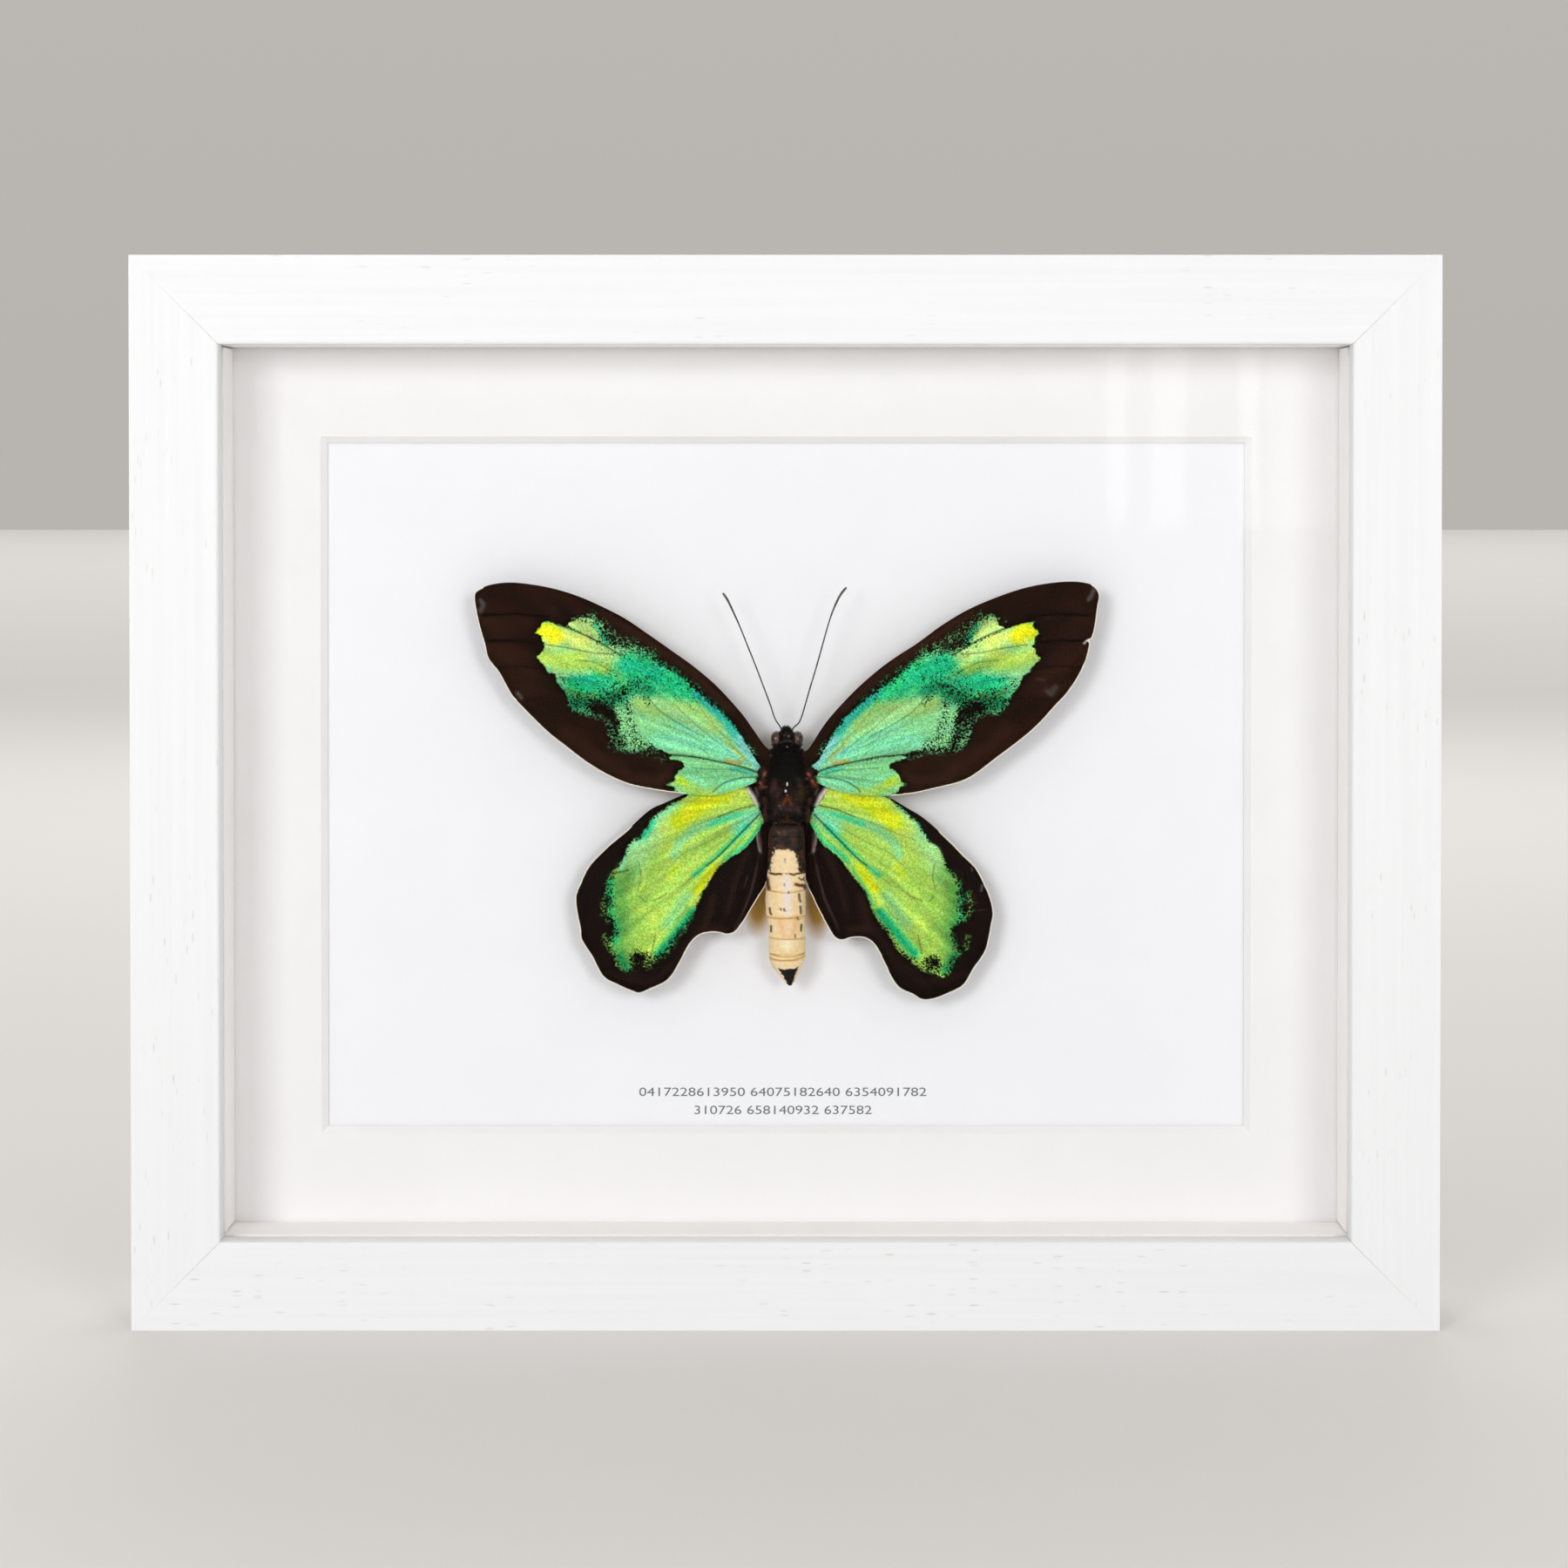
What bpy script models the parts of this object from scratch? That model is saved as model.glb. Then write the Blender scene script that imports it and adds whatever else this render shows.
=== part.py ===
"""A white box frame that holds one spread butterfly on a pin behind glass, every piece a part of its own.

Lengths below are in millimetres and the scene is in metres, +Z up. The frame stands on its bottom rail,
centred on the origin, and faces -Y. A depth is measured back from the frame's front face.
"""

import math

import bmesh
import bpy
from mathutils import Matrix

MM = 0.001
GAP = 0.3  # between pieces that touch
BODY_CLEARANCE = 0.35  # between the wings and the body
WELD = 0.001  # in a curve's own units
OVERCUT = 1.0  # how far a cutter reaches past the face that it opens

# Moulding
FRAME_WIDTH = 280.0
FRAME_HEIGHT = 230.0
FRAME_DEPTH = 38.0
RAIL_FACE = 19.0
LIP_DEPTH = 6.0
LIP_OVERLAP = 7.0
OUTER_ARRIS = 0.8
SIGHT_ARRIS = 1.2
ARRIS_STEPS = 3

# What lies in the rebate, front to back
GLASS_THICKNESS = 2.0
SPACER_DEPTH = 15.1
MOUNT_BOARD_THICKNESS = 1.4
MOUNT_WINDOW_WIDTH = 204.0
MOUNT_WINDOW_HEIGHT = 153.0
BACKING_THICKNESS = 5.0
BACK_BOARD_THICKNESS = 2.5
EDGE_EASE = 0.25

# Bendable tabs and the sawtooth hanger
TAB_LENGTH = 16.0
TAB_WIDTH = 6.0
TAB_THICKNESS = 0.5
TAB_CLIP = 1.2
TAB_INSET = 5.0
TAB_SPREAD_X = 70.0
TAB_SPREAD_Z = 55.0
HANGER_LENGTH = 44.0
HANGER_HEIGHT = 9.0
HANGER_SHEET = 0.8
HANGER_STAND_OFF = 1.4
HANGER_EAR = 7.0
HANGER_EAR_INSET = 1.5
HANGER_JOIN = 0.05  # keeps the faces of its joined boxes from lying in one plane
HANGER_TEETH = 13
TOOTH_HEIGHT = 1.4
TOOTH_GAP_SHARE = 0.1  # of the pitch, on each side of a notch
TOOTHLESS_END = 3.0
HANGER_DROP = 30.0  # its centre below the top of the frame
RIVET_HEAD_RADIUS = 2.0
RIVET_HEAD_HEIGHT = 0.9
RIVET_RADIUS = 0.8
RIVET_HOLE_RADIUS = 1.1
RIVET_LENGTH = 1.6
RIVET_SIDES = 16
RIVET_DOME_STEPS = 4
HOLE_SIDES = 12

# The specimen: its own x and z are measured from the middle of its thorax
SPECIMEN_X = 0.2
SPECIMEN_Z = 115.2
WING_THICKNESS = 0.35
WING_MARGIN = 2.0  # of the sheet round the outline that trims it
WING_TRIM_DEPTH = 12.0
FOREWING_CELLS = (13, 9)  # across and up
HINDWING_CELLS = (15, 9)
WING_CROWDING = 1.5  # brings the sheet's columns closer together near the body
FOREWING_DEPTH = 16.2
HINDWING_DEPTH = 17.2
FOREWING_DROOP = 1.5
HINDWING_DROOP = 1.5
FOREWING_SPAN = 68.0
HINDWING_SPAN = 46.0
INNER_FOLD_WIDTH = 5.5
INNER_FOLD_DEPTH = 2.0
INNER_FOLD_START = -2.0
INNER_FOLD_END = -10.0
BODY_HALF_WIDTH = 4.2
OUTLINE_RESOLUTION = 2
BODY_SIDES = 20
ABDOMEN_DEPTH = 17.9
ABDOMEN_FLATNESS = 0.87
JOINT_GROOVE = 0.16
JOINT_HALF_WIDTH = 0.35
JOINT_MARGIN = 1.0  # no other ring lies closer to a joint
HEAD_DEPTH = 17.2
HEAD_SIDES = 14
HEAD_TIERS = 9
LEG_RADIUS = 0.28
LEG_HIP_RADIUS = 0.39
PIN_RADIUS = 0.25
PIN_HOLE_RADIUS = 0.55
PIN_X = 0.1
PIN_Z = 0.7
PIN_TOP_DEPTH = 13.1
PIN_END_DEPTH = 29.7
PIN_POINT = 1.0
PIN_TIP_RADIUS = 0.08

FOREWING_LEFT = [
    (-3.2, 7.2), (-5.0, 9.3), (-7.5, 12.9), (-10.0, 16.3), (-15.0, 21.8), (-20.0, 26.1), (-25.0, 29.7),
    (-30.0, 33.2), (-35.0, 36.6), (-40.0, 39.2), (-45.0, 41.4), (-50.0, 43.0), (-55.0, 44.0),
    (-60.0, 44.5), (-64.0, 44.1), (-66.8, 43.1), (-68.0, 41.9), (-67.8, 39.0), (-67.0, 35.2),
    (-65.8, 31.0), (-65.0, 27.9), (-62.5, 24.6), (-60.0, 20.1), (-56.5, 16.2), (-52.2, 12.0),
    (-48.4, 9.0), (-43.5, 5.3), (-38.6, 2.4), (-33.9, 0.5), (-29.0, -0.5), (-24.2, -1.2), (-19.3, -1.7),
    (-14.6, -1.6), (-9.7, -0.1), (-6.5, 1.2), (-3.2, 2.4),
]
FOREWING_RIGHT = [
    (3.2, 2.2), (6.5, 1.0), (9.5, -0.3), (14.2, -1.6), (19.2, -1.9), (23.5, -1.8), (28.2, -1.2),
    (33.1, -0.1), (37.5, 1.0), (40.8, 2.6), (45.6, 6.2), (50.5, 9.9), (54.6, 13.4), (58.3, 17.4),
    (61.0, 20.3), (62.8, 22.9), (64.3, 25.6), (65.3, 27.9), (66.1, 31.2), (67.2, 35.2), (67.7, 39.0),
    (68.1, 41.7), (66.9, 43.7), (64.5, 44.5), (61.5, 44.7), (57.5, 44.4), (52.5, 43.5), (47.0, 41.8),
    (40.0, 38.9), (34.0, 35.4), (28.5, 31.4), (24.0, 28.5), (20.0, 25.6), (15.0, 21.2), (10.0, 15.9),
    (7.5, 12.6), (5.0, 8.7), (3.2, 6.8),
]
HINDWING_LEFT = [
    (-3.0, 1.0), (-8.0, 1.8), (-15.0, 1.4), (-22.2, -1.6), (-26.5, -3.5), (-30.0, -5.2), (-35.0, -9.7),
    (-38.5, -12.6), (-42.0, -16.0), (-43.7, -18.2), (-45.0, -21.1), (-46.1, -24.0), (-45.8, -27.6),
    (-45.1, -31.0), (-44.8, -33.5), (-42.5, -37.2), (-40.1, -41.5), (-37.0, -43.3), (-33.8, -44.7),
    (-32.0, -45.1), (-29.5, -44.1), (-26.7, -42.8), (-25.0, -41.2), (-23.3, -38.3), (-21.0, -34.2),
    (-19.1, -32.4), (-17.0, -31.8), (-15.0, -31.8), (-13.0, -32.2), (-11.2, -31.6), (-9.4, -29.3),
    (-7.9, -26.8), (-6.3, -24.2), (-4.6, -21.4), (-3.2, -17.0), (-3.0, -9.0),
]
HINDWING_RIGHT = [
    (3.0, -9.0), (3.2, -17.0), (4.3, -21.2), (5.7, -24.2), (7.3, -27.5), (9.0, -30.6), (10.4, -32.8),
    (12.0, -33.5), (13.7, -33.0), (15.5, -32.8), (17.3, -33.1), (19.2, -34.6), (21.2, -38.3),
    (22.7, -41.5), (24.6, -44.0), (27.5, -45.4), (29.4, -46.5), (32.0, -46.4), (35.0, -45.3),
    (37.8, -44.0), (39.2, -42.6), (40.8, -39.8), (43.2, -36.4), (44.1, -33.5), (44.7, -30.2),
    (45.1, -27.6), (44.4, -24.3), (42.9, -20.8), (41.2, -17.7), (38.5, -15.0), (35.0, -11.4),
    (30.0, -7.0), (26.0, -4.5), (22.0, -2.2), (15.0, 0.8), (8.0, 1.6), (3.0, 0.9),
]

# Body silhouettes: z, left x, right x
ABDOMEN_SILHOUETTE = [
    (-8.1, -2.4, 2.4), (-8.6, -3.4, 3.4), (-10.0, -3.9, 3.9), (-13.3, -4.1, 4.0), (-18.6, -4.3, 4.2),
    (-22.0, -4.6, 4.2), (-25.0, -4.7, 4.2), (-28.5, -4.4, 4.1), (-31.0, -4.1, 4.05), (-35.0, -4.0, 4.15),
    (-37.4, -3.9, 4.05), (-38.6, -3.4, 3.6), (-40.0, -2.5, 2.9), (-41.2, -1.6, 2.35), (-42.3, -0.7, 1.8),
    (-43.0, 0.0, 1.4), (-43.4, 0.4, 1.0),
]
ABDOMEN_JOINTS = [-10.6, -13.4, -18.6, -23.4, -28.5, -33.0, -36.3, -39.0]
# Thorax: z, left x, right x, front depth, back depth
THORAX_RINGS = [
    (8.35, -2.3, 2.3, 15.8, 19.4), (7.9, -3.4, 3.4, 15.0, 20.2), (6.8, -3.7, 3.8, 14.5, 20.7),
    (5.0, -4.0, 4.1, 13.9, 21.1), (3.2, -4.4, 4.5, 13.5, 21.5), (1.0, -4.7, 4.8, 13.3, 21.7),
    (-1.2, -4.8, 5.0, 13.3, 21.7), (-3.5, -4.8, 4.9, 13.5, 21.5), (-5.4, -4.5, 4.6, 13.9, 21.2),
    (-6.9, -3.9, 4.0, 14.5, 20.8), (-7.6, -3.0, 3.1, 15.4, 19.9),
]
# Head balls: x, depth, z and their radii along x, y, z
HEAD_BALLS = [
    (0.0, HEAD_DEPTH, 10.5, 2.2, 2.1, 1.6),
    (-2.25, HEAD_DEPTH - 0.2, 10.5, 1.25, 1.7, 1.7),
    (2.35, HEAD_DEPTH - 0.2, 10.5, 1.25, 1.7, 1.7),
    (-0.05, HEAD_DEPTH + 0.1, 12.0, 1.2, 1.5, 1.1),
]
# Each leg folds outwards and back under the thorax: z of the hip, knee and foot
LEG_FOLDS = [(5.2, 6.6, 3.2), (1.8, 3.0, -0.8), (-2.2, -1.2, -5.4)]
LEG_HIP_X = 1.5
LEG_KNEE_X = 3.4
LEG_FOOT_X = 1.1
LEG_HIP_DEPTH = 20.4
LEG_KNEE_DEPTH = 22.6
LEG_FOOT_DEPTH = 23.4
# Antennae: x, z, thin to a slim club
ANTENNA_LEFT = [
    (-1.55, 13.3), (-2.6, 15.0), (-3.6, 18.0), (-5.1, 22.0), (-6.6, 26.0), (-8.4, 30.5), (-10.2, 35.0),
    (-12.0, 39.0), (-13.0, 41.0), (-13.9, 42.3),
]
ANTENNA_RIGHT = [
    (1.75, 13.2), (2.5, 13.8), (3.2, 15.2), (4.2, 18.5), (5.2, 22.0), (6.4, 26.0), (7.8, 31.0),
    (8.9, 35.0), (10.0, 38.3), (11.3, 41.2), (12.2, 42.6), (13.0, 43.5),
]
ANTENNA_RADIUS = 0.17
ANTENNA_CLUB_RADIUS = 0.27
ANTENNA_CLUB_SHARE = 0.75
ANTENNA_BASE_DEPTH = 17.0
ANTENNA_TIP_DEPTH = 15.8

# Depths worked out from the stack
GLASS_FRONT = LIP_DEPTH + GAP
SPACER_FRONT = GLASS_FRONT + GLASS_THICKNESS + GAP
MOUNT_BOARD_FRONT = SPACER_FRONT + SPACER_DEPTH + GAP
BACKING_FRONT = MOUNT_BOARD_FRONT + MOUNT_BOARD_THICKNESS + GAP
BACK_BOARD_FRONT = BACKING_FRONT + BACKING_THICKNESS + GAP
BACK_BOARD_BACK = BACK_BOARD_FRONT + BACK_BOARD_THICKNESS
TAB_FRONT = BACK_BOARD_BACK + GAP
REBATE_FACE = RAIL_FACE - LIP_OVERLAP
INSERT_MARGIN = REBATE_FACE + GAP


def clear_scene():
    for obj in list(bpy.data.objects):
        bpy.data.objects.remove(obj, do_unlink=True)


def new_collection(name):
    collection = bpy.data.collections.new(name)
    bpy.context.scene.collection.children.link(collection)
    return collection


def srgb(code):
    """A six-digit sRGB hex code as a linear colour."""
    channels = [int(code[i : i + 2], 16) / 255 for i in (0, 2, 4)]
    linear = [c / 12.92 if c <= 0.04045 else ((c + 0.055) / 1.055) ** 2.4 for c in channels]
    return (*linear, 1.0)


def finish(name, code, roughness, metallic=0.0, alpha=1.0):
    material = bpy.data.materials.new(name)
    material.use_nodes = True
    shader = material.node_tree.nodes["Principled BSDF"]
    shader.inputs["Base Color"].default_value = srgb(code)
    shader.inputs["Roughness"].default_value = roughness
    shader.inputs["Metallic"].default_value = metallic
    shader.inputs["Alpha"].default_value = alpha
    material.diffuse_color = (*srgb(code)[:3], alpha)
    return material


def place(x, depth, z):
    """A point in metres from millimetres across, behind the front face, and up."""
    return (x * MM, (depth - FRAME_DEPTH / 2) * MM, z * MM)


def on_specimen(x, depth, z):
    return place(SPECIMEN_X + x, depth, SPECIMEN_Z + z)


def add_object(name, mesh, material=None, collection=None):
    obj = bpy.data.objects.new(name, mesh)
    (collection or PARTS).objects.link(obj)
    if material:
        mesh.materials.append(material)
    return obj


def mesh_from(shape, name):
    """Ends a bmesh as a mesh. A closed one faces outwards."""
    mesh = bpy.data.meshes.new(name)
    bmesh.ops.recalc_face_normals(shape, faces=shape.faces)
    if shape.calc_volume(signed=True) < 0:
        bmesh.ops.reverse_faces(shape, faces=shape.faces)
    shape.to_mesh(mesh)
    shape.free()
    return mesh


def as_cutter(obj):
    """Keeps a helper out of the render and moves it to the cutters' collection."""
    for collection in list(obj.users_collection):
        collection.objects.unlink(obj)
    CUTTERS.objects.link(obj)
    obj.hide_render = True
    obj.display_type = "WIRE"
    return obj


def combine(obj, other, operation):
    modifier = obj.modifiers.new(operation.title(), "BOOLEAN")
    modifier.operation = operation
    modifier.solver = "EXACT"
    modifier.object = other


def add_box(shape, low, high):
    """Adds a box between two (x, depth, z) corners to a bmesh and returns its vertices."""
    low, high = place(*low), place(*high)
    verts = bmesh.ops.create_cube(shape, size=1)["verts"]
    for vert in verts:
        for axis in range(3):
            vert.co[axis] = high[axis] if vert.co[axis] > 0 else low[axis]
    return verts


def block(name, low, high, material, ease=EDGE_EASE):
    shape = bmesh.new()
    add_box(shape, low, high)
    obj = add_object(name, mesh_from(shape, name), material)
    bevel = obj.modifiers.new("Eased edges", "BEVEL")
    bevel.width = ease * MM
    bevel.segments = 1
    return obj


def box_cutter(name, boxes):
    shape = bmesh.new()
    for low, high in boxes:
        add_box(shape, low, high)
    return as_cutter(add_object(name, mesh_from(shape, name)))


def round_cutter(name, spots, radius, front, back):
    """Straight holes from front to back, one at each (x, z)."""
    shape = bmesh.new()
    middle = (front + back) / 2
    size = {"radius1": radius * MM, "radius2": radius * MM, "depth": (back - front) * MM}
    for x, z in spots:
        ends = bmesh.ops.create_cone(shape, cap_ends=True, segments=HOLE_SIDES, **size)["verts"]
        bmesh.ops.rotate(shape, verts=ends, matrix=turned_to_back())
        bmesh.ops.translate(shape, verts=ends, vec=place(x, middle, z))
    return as_cutter(add_object(name, mesh_from(shape, name)))


def turned_to_back():
    """The turn that lays a shape's own +Z along the frame's +Y."""
    return Matrix(((1, 0, 0), (0, 0, 1), (0, -1, 0)))


def curve_mesh(curve, weld):
    """The curve's solid as a mesh, with its caps welded to its sides."""
    obj = bpy.data.objects.new(curve.name, curve)
    bpy.context.scene.collection.objects.link(obj)
    graph = bpy.context.evaluated_depsgraph_get()
    mesh = bpy.data.meshes.new_from_object(obj.evaluated_get(graph))
    bpy.data.objects.remove(obj)
    shape = bmesh.new()
    shape.from_mesh(mesh)
    bmesh.ops.remove_doubles(shape, verts=shape.verts, dist=weld)
    bpy.data.meshes.remove(mesh)
    return shape


def smooth_outline(name, points, thickness):
    """A flat solid through the points, in the curve's own XY plane and in millimetres."""
    curve = bpy.data.curves.new(name, "CURVE")
    curve.dimensions = "2D"
    curve.fill_mode = "BOTH"
    curve.extrude = thickness / 2
    curve.resolution_u = OUTLINE_RESOLUTION
    spline = curve.splines.new("BEZIER")
    spline.use_cyclic_u = True
    spline.bezier_points.add(len(points) - 1)
    for knot, (x, y) in zip(spline.bezier_points, points):
        knot.co = (x, y, 0)
        knot.handle_left_type = knot.handle_right_type = "AUTO"
    return curve_mesh(curve, WELD)


def sharp_outline(points, thickness):
    """A flat solid with straight edges between the points, in its own XY plane and in millimetres."""
    shape = bmesh.new()
    face = shape.faces.new([shape.verts.new((x, y, -thickness / 2)) for x, y in points])
    pushed = bmesh.ops.extrude_face_region(shape, geom=[face])["geom"]
    ends = [item for item in pushed if isinstance(item, bmesh.types.BMVert)]
    bmesh.ops.translate(shape, verts=ends, vec=(0, 0, thickness))
    return shape


def lay_upright(shape, x, depth, z):
    """Turns a flat millimetre shape from its own XY to the frame's XZ plane and puts it in place."""
    for vert in shape.verts:
        vert.co = place(x + vert.co.x, depth - vert.co.z, z + vert.co.y)


# Frame


def arc(centre, radius, start, end):
    steps = range(ARRIS_STEPS + 1)
    angles = [math.radians(start + (end - start) * i / ARRIS_STEPS) for i in steps]
    return [(centre[0] + radius * math.cos(a), centre[1] + radius * math.sin(a)) for a in angles]


def moulding_profile():
    """Inward distance from the frame's outside against depth, round the L section."""
    outer = arc((OUTER_ARRIS, OUTER_ARRIS), OUTER_ARRIS, 180, 270)
    sight = arc((RAIL_FACE - SIGHT_ARRIS, SIGHT_ARRIS), SIGHT_ARRIS, 270, 360)
    rebate = [(RAIL_FACE, LIP_DEPTH), (REBATE_FACE, LIP_DEPTH), (REBATE_FACE, FRAME_DEPTH)]
    return [*outer, *sight, *rebate, (0.0, FRAME_DEPTH)]


def rail(name, length, reach, quarter_turns, tab_spots, material):
    """One mitred rail. It is made as the top one, at its reach from the frame's centre, and then turned."""
    shape = bmesh.new()
    section = [shape.verts.new((-length / 2, depth, reach - inward)) for inward, depth in moulding_profile()]
    face = shape.faces.new(section)
    pushed = bmesh.ops.extrude_face_region(shape, geom=[face])["geom"]
    ends = [item for item in pushed if isinstance(item, bmesh.types.BMVert)]
    bmesh.ops.translate(shape, verts=ends, vec=(length, 0, 0))
    for side in (-1, 1):
        cut_mitre(shape, side, length, reach)
    turn = math.radians(90 * quarter_turns)
    for vert in shape.verts:
        across = vert.co.x * math.cos(turn) - vert.co.z * math.sin(turn)
        up = vert.co.x * math.sin(turn) + vert.co.z * math.cos(turn)
        vert.co = place(across, vert.co.y, FRAME_HEIGHT / 2 + up)
    obj = add_object(name, mesh_from(shape, name), material)
    half = TAB_WIDTH / 2 + GAP
    slots = []
    for x, z in tab_spots:
        slots.append(slot_box(x, z, half, quarter_turns))
    combine(obj, box_cutter(name + "_slots", slots), "DIFFERENCE")
    return obj


def cut_mitre(shape, side, length, reach):
    """Saws one end at 45 degrees and closes the cut. Each rail gives up half of the joint's gap."""
    corner = (side * (length / 2 - GAP / math.sqrt(2)), 0, reach)
    geometry = [*shape.verts, *shape.edges, *shape.faces]
    bmesh.ops.bisect_plane(shape, geom=geometry, plane_co=corner, plane_no=(side, 0, -1), clear_outer=True)
    bmesh.ops.holes_fill(shape, edges=[edge for edge in shape.edges if edge.is_boundary])


def slot_box(x, z, half, quarter_turns):
    """The slot that a tab is pressed into, in the wall of the rebate."""
    front, back = TAB_FRONT - GAP, TAB_FRONT + TAB_THICKNESS + GAP
    bottom = REBATE_FACE - TAB_INSET - GAP
    open_end = REBATE_FACE + OVERCUT
    if quarter_turns % 2 == 0:
        top = quarter_turns == 0
        heights = (FRAME_HEIGHT - open_end, FRAME_HEIGHT - bottom) if top else (bottom, open_end)
        return (x - half, front, heights[0]), (x + half, back, heights[1])
    left = quarter_turns == 1
    edges = (-FRAME_WIDTH / 2 + bottom, -FRAME_WIDTH / 2 + open_end)
    edges = edges if left else (-edges[1], -edges[0])
    return (edges[0], front, z - half), (edges[1], back, z + half)


def make_rails(material):
    top_spots = [(-TAB_SPREAD_X, 0), (TAB_SPREAD_X, 0)]
    side_spots = [(0, FRAME_HEIGHT / 2 - TAB_SPREAD_Z), (0, FRAME_HEIGHT / 2 + TAB_SPREAD_Z)]
    rail("rail_top", FRAME_WIDTH, FRAME_HEIGHT / 2, 0, top_spots, material)
    rail("rail_left", FRAME_HEIGHT, FRAME_WIDTH / 2, 1, side_spots, material)
    rail("rail_bottom", FRAME_WIDTH, FRAME_HEIGHT / 2, 2, top_spots, material)
    rail("rail_right", FRAME_HEIGHT, FRAME_WIDTH / 2, 3, side_spots, material)


def insert(name, front, thickness, material):
    """A flat sheet that fills the rebate."""
    reach = FRAME_WIDTH / 2 - INSERT_MARGIN
    high = (reach, front + thickness, FRAME_HEIGHT - INSERT_MARGIN)
    return block(name, (-reach, front, INSERT_MARGIN), high, material)


def make_glass(material):
    insert("glass_pane", GLASS_FRONT, GLASS_THICKNESS, material)


def make_spacers(material):
    reach = FRAME_WIDTH / 2 - INSERT_MARGIN
    sight = FRAME_WIDTH / 2 - RAIL_FACE
    back = SPACER_FRONT + SPACER_DEPTH
    top_low = FRAME_HEIGHT - RAIL_FACE
    side_low, side_high = RAIL_FACE + GAP, top_low - GAP
    top = FRAME_HEIGHT - INSERT_MARGIN
    block("spacer_bottom", (-reach, SPACER_FRONT, INSERT_MARGIN), (reach, back, RAIL_FACE), material)
    block("spacer_top", (-reach, SPACER_FRONT, top_low), (reach, back, top), material)
    block("spacer_left", (-reach, SPACER_FRONT, side_low), (-sight, back, side_high), material)
    block("spacer_right", (sight, SPACER_FRONT, side_low), (reach, back, side_high), material)


def make_mount_board(material):
    """The board's window is cut at 45 degrees, so it is wider at the front."""
    board = insert("mount_board", MOUNT_BOARD_FRONT, MOUNT_BOARD_THICKNESS, material)
    front = MOUNT_BOARD_FRONT - OVERCUT
    back = MOUNT_BOARD_FRONT + MOUNT_BOARD_THICKNESS + OVERCUT
    middle = FRAME_HEIGHT / 2
    half_width = MOUNT_WINDOW_WIDTH / 2 + OVERCUT
    half_height = MOUNT_WINDOW_HEIGHT / 2 + OVERCUT
    taper = (back - front) * MM
    shape = bmesh.new()
    low, high = (-half_width, front, middle - half_height), (half_width, back, middle + half_height)
    for vert in add_box(shape, low, high):
        if vert.co.y > place(0, MOUNT_BOARD_FRONT, 0)[1]:
            vert.co.x -= math.copysign(taper, vert.co.x)
            vert.co.z -= math.copysign(taper, vert.co.z - middle * MM)
    window = as_cutter(add_object("mount_board_window", mesh_from(shape, "mount_board_window")))
    combine(board, window, "DIFFERENCE")


def pin_spot():
    return [(SPECIMEN_X + PIN_X, SPECIMEN_Z + PIN_Z)]


def make_backing_board(material):
    board = insert("backing_board", BACKING_FRONT, BACKING_THICKNESS, material)
    front, back = BACKING_FRONT - OVERCUT, PIN_END_DEPTH + GAP
    combine(board, round_cutter("pin_hole", pin_spot(), PIN_HOLE_RADIUS, front, back), "DIFFERENCE")


def rivet_spots():
    x = HANGER_LENGTH / 2 - HANGER_EAR / 2
    z = FRAME_HEIGHT - HANGER_DROP
    return [(-x, z), (x, z)]


def make_back_board(material):
    board = insert("back_board", BACK_BOARD_FRONT, BACK_BOARD_THICKNESS, material)
    bottom = BACK_BOARD_BACK - RIVET_LENGTH
    holes = round_cutter("rivet_holes", rivet_spots(), RIVET_HOLE_RADIUS, bottom, BACK_BOARD_BACK + OVERCUT)
    combine(board, holes, "DIFFERENCE")


def tab_outline():
    """A strip with a pointed buried end and clipped outer corners, its length along the curve's +X."""
    half, clip = TAB_WIDTH / 2, TAB_CLIP
    end = TAB_LENGTH - TAB_INSET
    buried = -TAB_INSET
    return [
        (buried, -half + clip), (buried + clip, -half), (end - clip, -half), (end, -half + clip),
        (end, half - clip), (end - clip, half), (buried + clip, half), (buried, half - clip),
    ]


def make_tabs(material):
    """Two tabs to a side: each points from its rail towards the middle of the back board."""
    top, middle = FRAME_HEIGHT - REBATE_FACE, FRAME_HEIGHT / 2
    side = FRAME_WIDTH / 2 - REBATE_FACE
    spots = [(x, top, 270) for x in (-TAB_SPREAD_X, TAB_SPREAD_X)]
    spots += [(x, REBATE_FACE, 90) for x in (-TAB_SPREAD_X, TAB_SPREAD_X)]
    spots += [(-side, middle + z, 0) for z in (-TAB_SPREAD_Z, TAB_SPREAD_Z)]
    spots += [(side, middle + z, 180) for z in (-TAB_SPREAD_Z, TAB_SPREAD_Z)]
    for number, (x, z, turn) in enumerate(spots, start=1):
        shape = sharp_outline(tab_outline(), TAB_THICKNESS)
        angle = math.radians(turn)
        for vert in shape.verts:
            across = vert.co.x * math.cos(angle) - vert.co.y * math.sin(angle)
            up = vert.co.x * math.sin(angle) + vert.co.y * math.cos(angle)
            vert.co.x, vert.co.y = across, up
        lay_upright(shape, x, TAB_FRONT + TAB_THICKNESS / 2, z)
        name = f"tab_{number}"
        add_object(name, mesh_from(shape, name), material)


def hanger_strip():
    """The raised strip, with a row of teeth along its lower edge."""
    reach = HANGER_LENGTH / 2 - HANGER_EAR + HANGER_SHEET
    low, high = -HANGER_HEIGHT / 2, HANGER_HEIGHT / 2
    teeth_reach = reach - TOOTHLESS_END
    pitch = 2 * teeth_reach / HANGER_TEETH
    points = [(-reach, high), (-reach, low)]
    for tooth in range(HANGER_TEETH):
        start = -teeth_reach + tooth * pitch
        points += [(start + TOOTH_GAP_SHARE * pitch, low), (start + pitch / 2, low + TOOTH_HEIGHT)]
        points += [(start + (1 - TOOTH_GAP_SHARE) * pitch, low)]
    return [*points, (reach, low), (reach, high)]


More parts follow.
